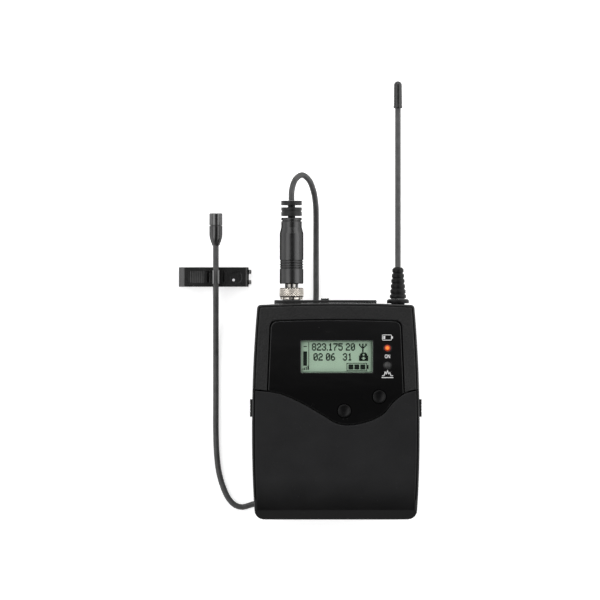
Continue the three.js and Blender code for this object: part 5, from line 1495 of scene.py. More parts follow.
@dataclass(frozen=True)
class Pack:
    """The transmitter's shared sizes. x is from its middle, y from its bottom, z from its back."""

    place: Triple = (13.66, -83.7, 10.6)
    side: float = 32.0
    height: float = 82.0
    depth: float = 24.0
    waist: float = 34.0  # height of its widest place
    low_draw: float = 0.9  # how much narrower it is at the bottom and the top
    high_draw: float = 1.9
    low_radius: float = 4.4
    high_radius: float = 1.8
    bow: float = 0.7  # of the top
    edge: Pair = (1.6, 1.3)  # how far the rounded edges reach in and down
    split: float = 12.0  # depth at which the covers meet
    chamfer: Pair = (3.7, 2.6)  # rise and depth of the lower front edge
    axis: float = 12.0  # depth of the jack and the antenna
    seam_dip: Pair = (5.4, 36.15)  # lowest place of the wavy seam between panel and door
    seam_rise: float = 13.75
    seam_across: tuple[float, ...] = (-37.4, -27.4, -19.4, -11, -5.4, 0, 6.6, 12.6, 16.6, 21.1, 26.6)
    seam_rises: tuple[float, ...] = (0.98, 0.88, 0.645, 0.3, 0.06, 0, 0.09, 0.3, 0.635, 0.885, 0.99)
    seam_gap: float = 0.5
    panel_top: float = 75.7
    panel_half: float = 24.9
    panel_radius: float = 3.2
    panel_flare: float = 1.0
    panel_shoulder: float = 2.0
    panel_bow: float = 0.8
    deck: Pair = (20.4, 22.0)
    board_face: float = 15.5
    line: Pair = (0.62, 1.06)  # the fine groove's insets from the edge
    line_depth: float = 1.3
    line_bevel: float = 0.3
    line_foot: float = 7.5
    bay_top: float = 34.2
    bulkhead: float = 1.2
    hinge: Pair = (2.4, 19.6)
    hinge_pin: float = 0.6
    knuckle: float = 2.3  # radius of the door's hinge barrel
    ear_x: float = 25.5
    ear_width: float = 3.0
    ear_radius: float = 1.3
    sill: float = 16.9  # top of the covers' lower wall, under the barrel
    catch: Pair = (42.6, 20.3)
    catch_length: float = 6.7
    catch_width: float = 2.8
    catch_flange: float = 0.8
    lcd: Pair = (0.37, 62.2)
    lcd_size: Pair = (27.1, 12.0)
    lamps: tuple[Pair, ...] = ((19.7, 65.5), (19.7, 59.0))
    lamp_radius: float = 1.1
    buttons: tuple[Pair, ...] = ((3.24, 41.5), (16.6, 46.9))
    button_radius: float = 2.46
    rocker: Pair = (-15.5, 39.4)
    rocker_size: Pair = (8.0, 4.2)
    screws: tuple[Pair, ...] = ((-24.5, 38.3), (24.5, 38.3), (-25.3, 72.4), (25.3, 72.4))
    screw_sink: float = 0.3
    screw_radius: float = 1.0
    screw_head: Pair = (1.9, 1.4)
    jack_x: float = -16.9
    jack_radius: float = 3.5
    antenna_x: float = 23.74
    stud_radius: float = 2.5
    clip_half: float = 24.0  # the belt clip's wire
    clip_end: float = 4.4
    clip_pivot: Pair = (66.0, -2.4)
    clip_wire: float = 1.0
    slider_x: float = -4.15
    slider: Pair = (3.0, 3.4)
    slider_travel: float = 2.2

    def outline(self, inset: float) -> list[Pair]:
        """Draws the case, with as many points for each inset.

        Args:
            inset: How far the outline is drawn in.

        Returns:
            The outline.
        """
        middle = self.side - inset
        low, high = middle - self.low_draw, middle - self.high_draw
        bottom, top = inset, self.height - inset
        r, q = max(self.low_radius - inset, 0.4), max(self.high_radius - inset, 0.4)
        right = [(low - r, bottom)]
        right += quadratic((low - r, bottom), (low, bottom), (low, bottom + r), 8)
        right += quadratic((low, bottom + r), (middle, (bottom + self.waist) / 2), (middle, self.waist), 10)
        right += quadratic((middle, self.waist), (middle, (self.waist + top) / 2), (high, top - q), 14)
        right += quadratic((high, top - q), (high, top), (high - q, top), 8)
        crown = quadratic((high - q, top), (0, top + 2 * self.bow), (q - high, top), 24)
        return right + crown[:-1] + [(-x, y) for x, y in reversed(right)]

    def filled(self, steps: int = 6) -> Solid:
        """Makes the case as one filled form with round edges and the chamfer at its lower front.

        Args:
            steps: How many steps the round edges have.

        Returns:
            The form.
        """
        reach, drop = self.edge
        rings = []
        for front in (False, True):
            for step in range(steps + 1):
                angle = math.pi / 2 * step / steps
                inset = reach * (1 - (math.cos(angle) if front else math.sin(angle)))
                level = drop * (1 - (math.sin(angle) if front else math.cos(angle)))
                z = self.depth - level if front else level
                rings.append([(x, y, z) for x, y in self.outline(inset)])
        rise, depth = self.chamfer
        slope = depth / rise
        corner = [(-BIG, self.depth - depth - BIG * slope), (rise, self.depth), (rise, BIG), (-BIG, BIG)]
        return Solid.loft(rings).cut(Solid.slab(corner, EVERYWHERE, Axis.X))

    def cavity(self) -> Solid:
        """Returns the room inside the walls."""
        return Solid.slab(self.outline(WALL), (WALL, self.depth - WALL))

    def seam(self, shift: float) -> list[Pair]:
        """Draws the seam between panel and door.

        Args:
            shift: How far it is moved up.

        Returns:
            Points on it, far beyond the case on both sides.
        """
        x0, y0 = self.seam_dip
        knots = [(x0 + x, y0 + self.seam_rise * rise) for x, rise in zip(self.seam_across, self.seam_rises)]
        inner = [(x, y + shift) for x, y in through(knots, 60)]
        return [(-BIG, inner[0][1]), *inner, (BIG, inner[-1][1])]

    def below_seam(self, shift: float, span: Pair) -> Solid:
        """Returns everything below the seam over a span of depths."""
        return Solid.slab([(-BIG, -BIG), (BIG, -BIG), *reversed(self.seam(shift))], span)

    def above_seam(self, shift: float, span: Pair) -> Solid:
        """Returns everything above the seam over a span of depths."""
        return Solid.slab([*self.seam(shift), (BIG, BIG), (-BIG, BIG)], span)

    def edge_line(self) -> Solid:
        """Makes the tool for the fine line that runs round the front a little inside its edge.

        Returns:
            The tool.
        """
        near, far = self.line
        deep, bevel, face = self.depth - self.line_depth, self.line_bevel, self.depth - 0.05
        levels = ((far, deep - 1), (far, face - bevel), (far + 2 * bevel, face + bevel))
        inner = Solid.loft([[(x, y, z) for x, y in self.outline(inset)] for inset, z in levels])
        ring = Solid.slab(self.outline(near), (deep, face + bevel / 2)).cut(inner)
        return ring.cross(Solid.block(EVERYWHERE, (self.line_foot, BIG), EVERYWHERE))

    def panel_outline(self, margin: float) -> list[Pair]:
        """Draws the display panel. The seam cuts its lower edge.

        Args:
            margin: How far the outline is grown.

        Returns:
            The outline.
        """
        top, half, radius = self.panel_top + margin, self.panel_half + margin, self.panel_radius
        foot, shoulder = half + self.panel_flare, self.seam_dip[1] + self.seam_rise - self.panel_shoulder
        right = [(foot, self.seam_dip[1]), (foot, shoulder), (half, top - radius)]
        right += quadratic((half, top - radius), (half, top), (half - radius, top), 8)
        crown = quadratic((half - radius, top), (0, top + self.panel_bow), (radius - half, top), 16)
        return right + crown[:-1] + [(-x, y) for x, y in reversed(right)]

    def top_openings(self) -> list[Solid]:
        """Makes the tools for the holes through the top.

        Returns:
            The tools for the jack, the antenna's stud and the mute slider.
        """
        up = (self.height - 3 * WALL, BIG)
        x, (length, depth) = self.slider_x, self.slider
        slot = (x - length / 2 - SLIDE_GAP, x + length / 2 + self.slider_travel + SLIDE_GAP)
        return [
            Solid.bar(self.jack_radius + GAP, up, (self.jack_x, self.axis), Axis.Y),
            Solid.bar(self.stud_radius + GAP, up, (self.antenna_x, self.axis), Axis.Y, 40),
            Solid.block(slot, up, about(self.axis, depth + 2 * SLIDE_GAP)),
        ]

    def upright(self, radius: float, span: Pair, spots: Iterable[Pair], sides: int) -> list[Solid]:
        """Returns round bars along the depth, one on each spot."""
        return [Solid.bar(radius, span, spot, Axis.Z, sides) for spot in spots]

    def pin_hole(self) -> Solid:
        """Returns the tool for the hole that the door's hinge pin lies in."""
        return Solid.bar(self.hinge_pin + GAP, EVERYWHERE, self.hinge, Axis.X, 24)

    def finish(self, solid: Solid, name: str, finish: Finish, *nodes: str, **options: object) -> Piece:
        """Moves a solid to the transmitter's place and finishes it as a piece."""
        return solid.moved(Matrix.Translation(self.place)).piece(name, finish, *nodes, **options)


@dataclass
class Case:
    """The moulded covers and the screws that hold them."""

    pack: Pack
    lug_x: float = 20.7
    lug_width: float = 4.0
    lug_radius: float = 2.3
    boss_radius: float = 3.0
    blank: tuple[Pair, Pair] = ((0.0, 40.0), (30.0, 19.0))  # place and size of the back's sunk plate
    blank_radius: float = 1.6
    blank_depth: float = 0.25
    door_floor: float = 17.6  # how deep the door's skirt reaches into the front cover
    brace_half: float = 27.4
    sill_half: float = 31.2
    sill_face: float = 17.1
    ear_reach: float = 12.9
    lcd_frame: float = 3.8
    switch_radius: float = 3.55  # of the holes under the buttons
    rocker_hole: Pair = (8.7, 4.9)
    recess: Pair = (0.5, 2.5)  # width and length of a screw's cross
    recess_depth: float = 0.75

    def rear(self) -> None:
        """Makes the rear cover with its lugs for the belt clip and its screw bosses."""
        p = self.pack
        shell = p.filled().cross(Solid.block(EVERYWHERE, EVERYWHERE, (-BIG, p.split - GAP / 2)))
        shell.cut(p.cavity())
        lug = tab(self.lug_radius, p.clip_pivot, WALL / 2)
        for side in (-1, 1):
            shell.join(Solid.slab(lug, about(side * self.lug_x, self.lug_width), Axis.X))
            bore = sided(side, p.clip_half - p.clip_end - GAP, p.clip_half)
            shell.cut(Solid.bar(p.clip_wire + GAP, bore, p.clip_pivot, Axis.X, 32))
        radius, depth = p.screw_head
        shell.join(*p.upright(self.boss_radius, (WALL / 2, p.split - GAP / 2), p.screws, 32))
        shell.cut(*p.top_openings())
        shell.cut(*p.upright(p.screw_radius + GAP, EVERYWHERE, p.screws, 24))
        shell.cut(*p.upright(radius + GAP, (-BIG, p.screw_sink + depth + GAP), p.screws, 36))
        plate = rounded_rectangle(*(about(*pair) for pair in zip(*self.blank)), self.blank_radius)
        shell.cut(Solid.slab(plate, (-BIG, self.blank_depth)))
        p.finish(shell.eased(0.16), "fine_rear_cover", MOULDED, "rear_shell")

    def front(self) -> None:
        """Makes the front cover: the rim round the panel, the deck under it and the door's surround."""
        p = self.pack
        low_deck, high_deck = p.deck
        base = p.split + GAP / 2
        shell = p.filled().cross(Solid.block(EVERYWHERE, EVERYWHERE, (base, BIG)))
        shell.cut(p.cavity().cross(Solid.block(EVERYWHERE, EVERYWHERE, (-BIG, low_deck + 0.8))))
        shell.cut(p.below_seam(p.seam_gap / 2, (self.door_floor, BIG)))
        shell.cut(Solid.bar(p.knuckle + 0.32, EVERYWHERE, p.hinge, Axis.X, 64))
        shell.cut(Solid.block(EVERYWHERE, (-BIG, p.hinge[0] + p.knuckle), (p.sill, BIG)))
        shell.cut(Solid.slab(p.panel_outline(p.seam_gap), (high_deck, BIG)))
        shell.eased(0.22, 3)
        inner, wall = self.brace_half, (p.bay_top, p.bay_top + p.bulkhead)
        brace = Solid.block((-inner, inner), wall, (base, high_deck - 0.2))
        sill = Solid.block((-self.sill_half, self.sill_half), wall, (base, self.sill_face))
        deck = Solid.slab(p.outline(WALL / 2), p.deck)
        above = p.above_seam(p.seam_gap, EVERYWHERE)
        deck.cross(above.join(Solid.block((-inner, inner), (p.bay_top + 0.6, BIG), EVERYWHERE)))
        bosses = p.upright(self.boss_radius, (base, low_deck + 0.1), p.screws, 32)
        ear = tab(p.ear_radius, p.hinge, self.ear_reach)
        ears = [Solid.slab(ear, about(side * p.ear_x, p.ear_width), Axis.X) for side in (-1, 1)]
        shell.join(brace, sill, deck, *bosses, *ears)
        width, height = (size + self.lcd_frame for size in p.lcd_size)
        shell.cut(
            *p.top_openings(),
            *p.upright(p.screw_radius + GAP, (-BIG, self.door_floor), p.screws, 24),
            p.pin_hole(),
            Solid.block(about(p.lcd[0], width), about(p.lcd[1], height), (low_deck - 1, high_deck + 1)),
            *p.upright(self.switch_radius, (low_deck - 1, high_deck + 0.1), p.buttons, 40),
            *p.upright(p.lamp_radius + GAP, (low_deck - 1, BIG), p.lamps, 32),
            Solid.block(*(about(*pair) for pair in zip(p.rocker, self.rocker_hole)), (low_deck - 1, BIG)),
            p.edge_line(),
        )
        p.finish(shell, "fine_front_cover", MOULDED, "front_frame")

    def screws(self) -> None:
        """Makes the four case screws with cross recesses."""
        p = self.pack
        (head, depth), shank = p.screw_head, p.screw_radius
        profile = [(0, 0), (head - 0.3, 0), (head, 0.5), (head, depth), (shank, depth), (shank, 17.0), (0, 17.4)]
        screw = Solid.turned(softened(profile, 0.2), (0, 0), 32).upright()
        narrow, long = self.recess
        level = (-1, self.recess_depth)
        recess = Solid.block(about(0, narrow), about(0, long), level)
        screw.cut(recess.join(Solid.block(about(0, long), about(0, narrow), level)))
        spots = [Spot((x, y, p.screw_sink), (0.0, 0.0, 0.4 + x)) for x, y in p.screws]
        copies = Repeat.solid(screw, spots, SCREW_STEEL)
        p.finish(copies, "fine_case_screws", SCREW_STEEL, *(f"case_screw_{i}" for i in (1, 2, 3, 4)))

    def build(self) -> None:
        """Makes the covers and the screws."""
        self.rear()
        self.front()
        self.screws()


@dataclass
class Door:
    """The battery door and its two release catches."""

    pack: Pack
    skirt: float = 18.0
    barrel: float = 46.4  # length of the hinge barrel between the ears
    proud: float = 0.75  # how far a catch stands out
    rib: Pair = (1.2, 0.3)  # pitch and width of a catch's grooves
    rib_depth: float = 0.13

    def leaf(self) -> None:
        """Makes the door: a thin front with a skirt, cut free of hinge and catches."""
        p = self.pack
        y, z = p.hinge
        leaf = p.filled().cross(p.below_seam(-p.seam_gap / 2, (self.skirt, BIG)))
        leaf.eased(0.4, 3)
        leaf.cut(p.edge_line())
        heel_top = y + p.knuckle - GAP / 2
        room = Solid.slab(p.outline(WALL), (-BIG, p.depth - WALL))
        room.cross(Solid.block(EVERYWHERE, (heel_top - GAP / 2, BIG), EVERYWHERE))
        heel = Solid.block(EVERYWHERE, (-BIG, heel_top), (-BIG, z + GAP))
        heel.cut(Solid.bar(p.knuckle, EVERYWHERE, p.hinge, Axis.X, 48))
        leaf.cut(room, heel)
        leaf.join(Solid.bar(p.knuckle, about(0, self.barrel), p.hinge, Axis.X, 48))
        along = about(p.catch[0], p.catch_length + 2 * SLIDE_GAP)
        depths = about(p.catch[1], p.catch_width + 2 * SLIDE_GAP)
        free = p.ear_radius + GAP
        for side in (-1, 1):
            leaf.cut(Solid.block(sided(side, p.side / 2, BIG), along, depths))
            span = about(side * p.ear_x, p.ear_width + 2 * GAP)
            room = Solid.block(span, (-BIG, y), (-BIG, z + free))
            leaf.cut(room.join(Solid.slab(tab(free, p.hinge, 0), span, Axis.X)))
        leaf.cut(p.pin_hole())
        p.finish(leaf, "fine_battery_door", DOOR_PLASTIC, "battery_door", body=Body.DOOR)

    def catch(self, side: int, body: Body, node: str) -> None:
        """Makes a release catch, ribbed where the thumb presses it.

        Args:
            side: 1 for the right, -1 for the left.
            body: The body it rides on.
            node: The plain solid it stands for.
        """
        p = self.pack
        (y, z), length, width, flange = p.catch, p.catch_length, p.catch_width, p.catch_flange
        out = p.side - WALL - SLIDE_GAP - 0.15
        face = p.side + self.proud
        bar = Solid.block(sided(side, out - flange, face), about(y, length), about(z, width))
        bar.join(Solid.block(sided(side, out - flange, out), about(y, length + 2 * flange), about(z, width + flange)))
        pitch, groove = self.rib
        ribs = sided(side, face - self.rib_depth, BIG)
        bar.cut(*(Solid.block(ribs, about(y + pitch * i, groove), EVERYWHERE) for i in (-1, 0, 1)))
        p.finish(bar.eased(0.1, 2), f"fine_{node}", MOULDED, node, body=body)

    def build(self) -> None:
        """Makes the leaf and both catches."""
        self.leaf()
        self.catch(-1, Body.LEFT_CATCH, "catch_left")
        self.catch(1, Body.RIGHT_CATCH, "catch_right")


@dataclass
class Display:
    """The polished panel with the window, the liquid crystal, two lamps, two buttons and the labels."""

    pack: Pack
    panel: Pair = (22.3, 23.7)
    sunk: float = 0.1  # how far the window and the lamps lie under the panel's face
    lens: float = 1.0
    lamp_head: float = 1.22
    dome: float = 0.35
    dish: float = 0.34
    button_foot: float = 19.1
    collar: Pair = (21.2, 22.0)
    collar_width: float = 0.8
    key: Pair = (19.0, 22.0)  # depths of the rocker key
    hollow: float = 0.4
    bar: Pair = (0.4, 1.8)  # width and length of the key's raised bars
    bar_x: float = 2.9
    fill: float = 1.36  # how much of its pitch a dot fills
    small: Pair = (0.315, 0.39)  # pitch of the numerals' dots

    GLYPHS = {
        "0": "01110 10001 10011 10101 11001 10001 01110",
        "1": "00100 01100 00100 00100 00100 00100 01110",
        "2": "01110 10001 00001 00110 01000 10000 11111",
        "3": "01110 10001 00001 00110 00001 10001 01110",
        "4": "00010 00110 01010 10010 11111 00010 00010",
        "5": "11111 10000 11110 00001 00001 10001 01110",
        "6": "00110 01000 10000 11110 10001 10001 01110",
        "7": "11111 00001 00010 00100 01000 01000 01000",
        "8": "01110 10001 10001 01110 10001 10001 01110",
        ".": "0 0 0 0 0 0 1",
        " ": "00 00 00 00 00 00 00",
    }
    AERIAL = "1001001 1001001 0101010 0011100 0001000 0001000 0001000 0001000"
    LOCK = "00111100 01100110 01100110 11111111 11100111 11000011 11100111 11111111"
    LINES = (("823.175 20", 4.1, 0.95), ("02 06", 4.7, 4.75), ("31", 15.9, 4.75))
    LEVEL = (((2.75, 3.0), (0.5, 11.0)), ((0.9, 2.1), (1.95, 2.3)), ((0.75, 2.2), (4.0, 9.5)))
    CHARGE = ((17.3, 25.1), (8.4, 11.5))  # the display's battery sign
    INK = (  # middle and size of each printed stroke, from the lamps' line: a battery, and the wave's base
        ((-0.2, 70.5), (3.7, 0.25)), ((-0.2, 68.5), (3.7, 0.25)), ((-1.92, 69.5), (0.25, 2.25)),
        ((1.52, 69.5), (0.25, 2.25)), ((1.85, 69.5), (0.45, 0.9)), ((-1.2, 69.5), (0.7, 1.2)), ((0, 54.2), (4.4, 0.3)),
    )
    WAVE = (
        (-2.1, 54.9), (-1.3, 54.9), (-0.9, 56.6), (-0.45, 55.4), (0.0, 57.1), (0.45, 55.4), (0.9, 56.3), (1.3, 54.9),
        (2.1, 54.9),
    )

    def plate(self) -> None:
        """Makes the polished panel with its openings."""
        p = self.pack
        x, y = p.lcd
        width, height = p.lcd_size
        sheet = Solid.slab(p.panel_outline(0), self.panel).cross(p.above_seam(p.seam_gap / 2, EVERYWHERE))
        window = Solid.block(about(x, width + 0.2), about(y, height + 0.2), EVERYWHERE)
        sheet.cut(window, *p.upright(self.lamp_head + 0.08, EVERYWHERE, p.lamps, 48))
        sheet.eased(0.34, 3)
        sheet.cut(*p.upright(p.button_radius + 0.3, EVERYWHERE, p.buttons, 64))
        p.finish(sheet, "fine_display_panel", PANEL_GLOSS, "display_panel")

    def window(self) -> None:
        """Makes the clear window."""
        p = self.pack
        top = self.panel[1] - self.sunk
        across, up = about(p.lcd[0], p.lcd_size[0]), about(p.lcd[1], p.lcd_size[1])
        lens = Solid.slab(rounded_rectangle(across, up, 0.25, 3), (top - self.lens, top)).eased(0.08, 2)
        p.finish(lens, "fine_window", WINDOW, "lcd_lens")

    def dots(self, rows: Sequence[str], corner: Pair, pitch: Pair) -> list[Spot]:
        """Returns a spot for each dot that is on.

        Args:
            rows: The rows from the top, as strings of 0 and 1.
            corner: The place of the pattern's upper left corner (mm).
            pitch: The dots' pitch across and down (mm).

        Returns:
            The spots.
        """
        x0, y0 = corner
        across, down = pitch
        spots = []
        for j, row in enumerate(rows):
            for i, mark in enumerate(row):
                if mark == "1":
                    place = (x0 + (i + 0.5) * across, y0 - (j + 0.5) * down, self.film_level())
                    spots.append(Spot(place, size=(across, down, 1)))
        return spots

    def film_level(self) -> float:
        """Returns the depth at which the display's dots lie."""
        return self.panel[1] - self.sunk - self.lens - GAP + 0.02

    def corner(self) -> Pair:
        """Returns the window's upper left corner."""
        (x, y), (width, height) = self.pack.lcd, self.pack.lcd_size
        return x - width / 2, y + height / 2

    def line(self, text: str, corner: Pair, pitch: Pair) -> list[Spot]:
        """Writes a line of signs.

        Args:
            text: The signs.
            corner: The line's upper left corner.
            pitch: The dots' pitch across and down.

        Returns:
            The spots.
        """
        spots = []
        x, y = corner
        for sign in text:
            rows = self.GLYPHS[sign].split()
            spots += self.dots(rows, (x, y), pitch)
            x += (len(rows[0]) + 1) * pitch[0]
        return spots

    def stroke(self, across: Pair, down: Pair) -> Spot:
        """Draws one filled bar.

        Args:
            across, down: Its ranges from the window's upper left corner.

        Returns:
            Its spot.
        """
        left, top = self.corner()
        place = (left + sum(across) / 2, top - sum(down) / 2, self.film_level())
        return Spot(place, size=((across[1] - across[0]) / self.fill, (down[1] - down[0]) / self.fill, 1))

    def crystal(self) -> None:
        """Makes the dark dots of the display: two lines of numerals, a level bar and plain signs."""
        left, top = self.corner()
        spots = []
        for text, x, y in self.LINES:
            spots += self.line(text, (left + x, top - y), self.small)
        spots += self.dots(self.AERIAL.split(), (left + 22.1, top - 1.1), (0.40, 0.40))
        spots += self.dots(self.LOCK.split(), (left + 22.1, top - 4.5), (0.42, 0.385))
        (x0, x1), (y0, y1) = self.CHARGE
        edge = 0.26
        bars = list(self.LEVEL)
        bars += [((0.5 + 0.62 * i, 0.85 + 0.62 * i), (10.5 - 0.35 * i, 11.05)) for i in range(4)]
        bars += [((x0, x1), (y0, y0 + edge)), ((x0, x1), (y1 - edge, y1)), ((x0, x0 + edge), (y0, y1))]
        bars += [((x1 - edge, x1), (y0, y1)), ((x1, x1 + 0.55), (y0 + 0.8, y1 - 0.8))]
        bars += [((x0 + 0.7 + 2.25 * i, x0 + 2.6 + 2.25 * i), (y0 + 0.58, y1 - 0.58)) for i in range(3)]
        spots += [self.stroke(across, down) for across, down in bars]
        square = Solid.block(about(0, self.fill), about(0, self.fill), (0, 0.02))
        self.pack.finish(Repeat.solid(square, spots, PIXEL), "display_dots", PIXEL)

    def lamp(self, spot: Pair, finish: Finish, node: str) -> None:
        """Makes a lamp's domed light guide.

        Args:
            spot: Where it stands.
            finish: What it is finished in.
            node: The plain solid it stands for.
        """
        p, r, head, dome = self.pack, self.pack.lamp_radius, self.lamp_head, self.dome
        top, foot, neck = self.panel[1] - self.sunk, self.pack.board_face + GAP, self.panel[0] + 0.1
        profile = [(0, foot), (r, foot), (r, neck), (head, neck)]
        profile += [(head * math.cos(a), top - dome + dome * math.sin(a)) for a in (0.0, 0.3, 0.6, 0.9, 1.2)]
        guide = Solid.turned([*profile, (0, top)], (0, 0), 40).upright(spot)
        p.finish(guide, f"fine_{node}", finish, node)

    def button(self, spot: Pair, body: Body, node: str) -> None:
        """Makes a push button with a slightly hollow face.

        Args:
            spot: Where it stands.
            body: The body it rides on.
            node: The plain solid it stands for.
        """
        r, top, foot, (low, high) = self.pack.button_radius, self.pack.depth + 0.1, self.button_foot, self.collar
        wide = r + self.collar_width
        profile = [(0, foot), (r, foot), (r, low), (wide, low), (wide, high), (r, high)]
        profile += [(r, top - 0.3), (r - 0.1, top - 0.1), (r - 0.4, top)]
        shares = (0.72, 0.6, 0.48, 0.36, 0.24, 0.12)
        profile += [(r * share, top - self.dish * (1 - (share / 0.83) ** 2)) for share in shares]
        stem = Solid.turned(softened([*profile, (0, top - self.dish)], 0.06), (0, 0), 64).upright(spot)
        self.pack.finish(stem, f"fine_{node}", BUTTON, node, body=body)

    def rocker(self) -> None:
        """Makes the rocker key under the door, hollowed for a fingertip, with two raised bars."""
        (x, y), (length, width), top = self.pack.rocker, self.pack.rocker_size, self.key[1]
        key = Solid.slab(rounded_rectangle(about(x, length), about(y, width), 0.7), self.key)
        key.cut(Solid.bar(length, EVERYWHERE, (x, top + length - self.hollow), Axis.Y, 160))
        key.eased(0.14, 2)
        for middle in (x - self.bar_x, x + self.bar_x):
            bar = rounded_rectangle(about(middle, self.bar[0]), about(y, self.bar[1]), 0.18, 3)
            key.join(Solid.slab(bar, (top - 0.8, top + 0.05)))
        self.pack.finish(key, "fine_rocker_key", SWITCH_PLASTIC, "rocker_key", body=Body.ROCKER)

    def labels(self) -> None:
        """Prints the plain signs beside the lamps: a battery, ON and a peaking wave."""
        level, x = self.panel[1] + 0.006, self.pack.lamps[0][0]
        film = (level - 0.004, level + 0.006)
        signs = [Solid.block(about(x + a, width), about(y, height), film) for (a, y), (width, height) in self.INK]
        for start, end in zip(self.WAVE, self.WAVE[1:]):
            a, b = Vector((x + start[0], start[1])), Vector((x + end[0], end[1]))
            half = Vector((a.y - b.y, b.x - a.x)).normalized() * 0.15
            signs.append(Solid.slab([tuple(c) for c in (a - half, b - half, b + half, a + half)], film))
        word = lettering("ON", 1.37, (x, 62.3, level), 0.68)
        self.pack.finish(together(word, *signs), "panel_labels", LABEL_INK)

    def build(self) -> None:
        """Makes everything on the panel."""
        p = self.pack
        self.plate()
        self.window()
        self.crystal()
        self.lamp(p.lamps[0], RED_LAMP, "power_lamp")
        self.lamp(p.lamps[1], GREY_LAMP, "peak_lamp")
        self.button(p.buttons[0], Body.POWER_BUTTON, "power_button")
        self.button(p.buttons[1], Body.SET_BUTTON, "set_button")
        self.rocker()
        self.labels()


@dataclass
class Top:
    """The plate on the transmitter's top with the mute slider, the jack and its lock nut."""

    pack: Pack
    plate_x: float = -3.95
    plate_length: float = 39.1
    plate_depth: float = 14.0
    plate_radius: float = 4.0
    level: float = 83.8
    knob_rise: float = 0.7
    ridge: Pair = (0.75, 0.3)  # pitch and width of the slider's grooves
    nut: tuple[Pair, Pair] = ((3.8, 4.35), (84.0, 84.76))  # radii and heights of the jack's lock nut
    notches: int = 7
    notch_radius: float = 4.08
    notch_size: Pair = (1.75, 0.5)

    def plate(self) -> None:
        """Makes the plate, fitted to the arched top."""
        p = self.pack
        across, deep = about(self.plate_x, self.plate_length), about(p.axis, self.plate_depth)
        outline = rounded_rectangle(across, deep, self.plate_radius, 10)
        plate = Solid.slab(outline, (p.height - WALL, self.level), Axis.Y).eased(0.35, 3)
        plate.cut(Solid.slab(p.outline(-0.02), EVERYWHERE), *p.top_openings())
        p.finish(plate, "fine_top_plate", MOULDED, "top_plate")

    def slider(self) -> None:
        """Makes the mute slider with its finger ridges."""
        p = self.pack
        length, depth = p.slider
        foot = (p.height - WALL - 1 - GAP, p.height - WALL - GAP)
        knob = Solid.block(about(p.slider_x, length), (foot[0], self.level + self.knob_rise), about(p.axis, depth))
        (pitch, width), reach = self.ridge, (self.level + 0.45, BIG)
        knob.cut(*(Solid.block(about(p.slider_x + pitch * i, width), reach, EVERYWHERE) for i in (-1, 0, 1)))
        knob.join(Solid.block(about(p.slider_x, length + 2), foot, about(p.axis, depth + 2)))
        p.finish(knob.eased(0.08, 2), "fine_mute_slider", SWITCH_PLASTIC, "mute_slider", body=Body.MUTE)

    def lock_nut(self) -> None:
        """Makes the thin ring nut that holds the jack, with dark marks on it as painted shade in its spanner notches.
        """
        p = self.pack
        (inner, outer), (low, high) = self.nut
        ring = softened([(inner, low), (outer, low), (outer, high), (inner, high), (inner, low)], 0.1)
        nut = Solid.turned(ring, (p.jack_x, p.axis), 72)
        p.finish(nut, "fine_jack_locknut", NICKEL, "jack_locknut")
        # Painted shade: the notches are not cut. Dark blocks set into the ring stand for the shade in them.
        length, depth = self.notch_size
        notch = Solid.block(about(0, length), (low, high - 0.06), about(0, depth)).eased(0.06, 2)
        marks = Repeat.ring(notch, self.notches, (p.jack_x, p.axis), self.notch_radius, DARK_INSIDE_AND_NOTCH_SHADE)
        p.finish(marks, "locknut_notches", DARK_INSIDE_AND_NOTCH_SHADE)

    def build(self) -> None:
        """Makes the top's pieces."""
        self.plate()
        self.slider()
        self.lock_nut()


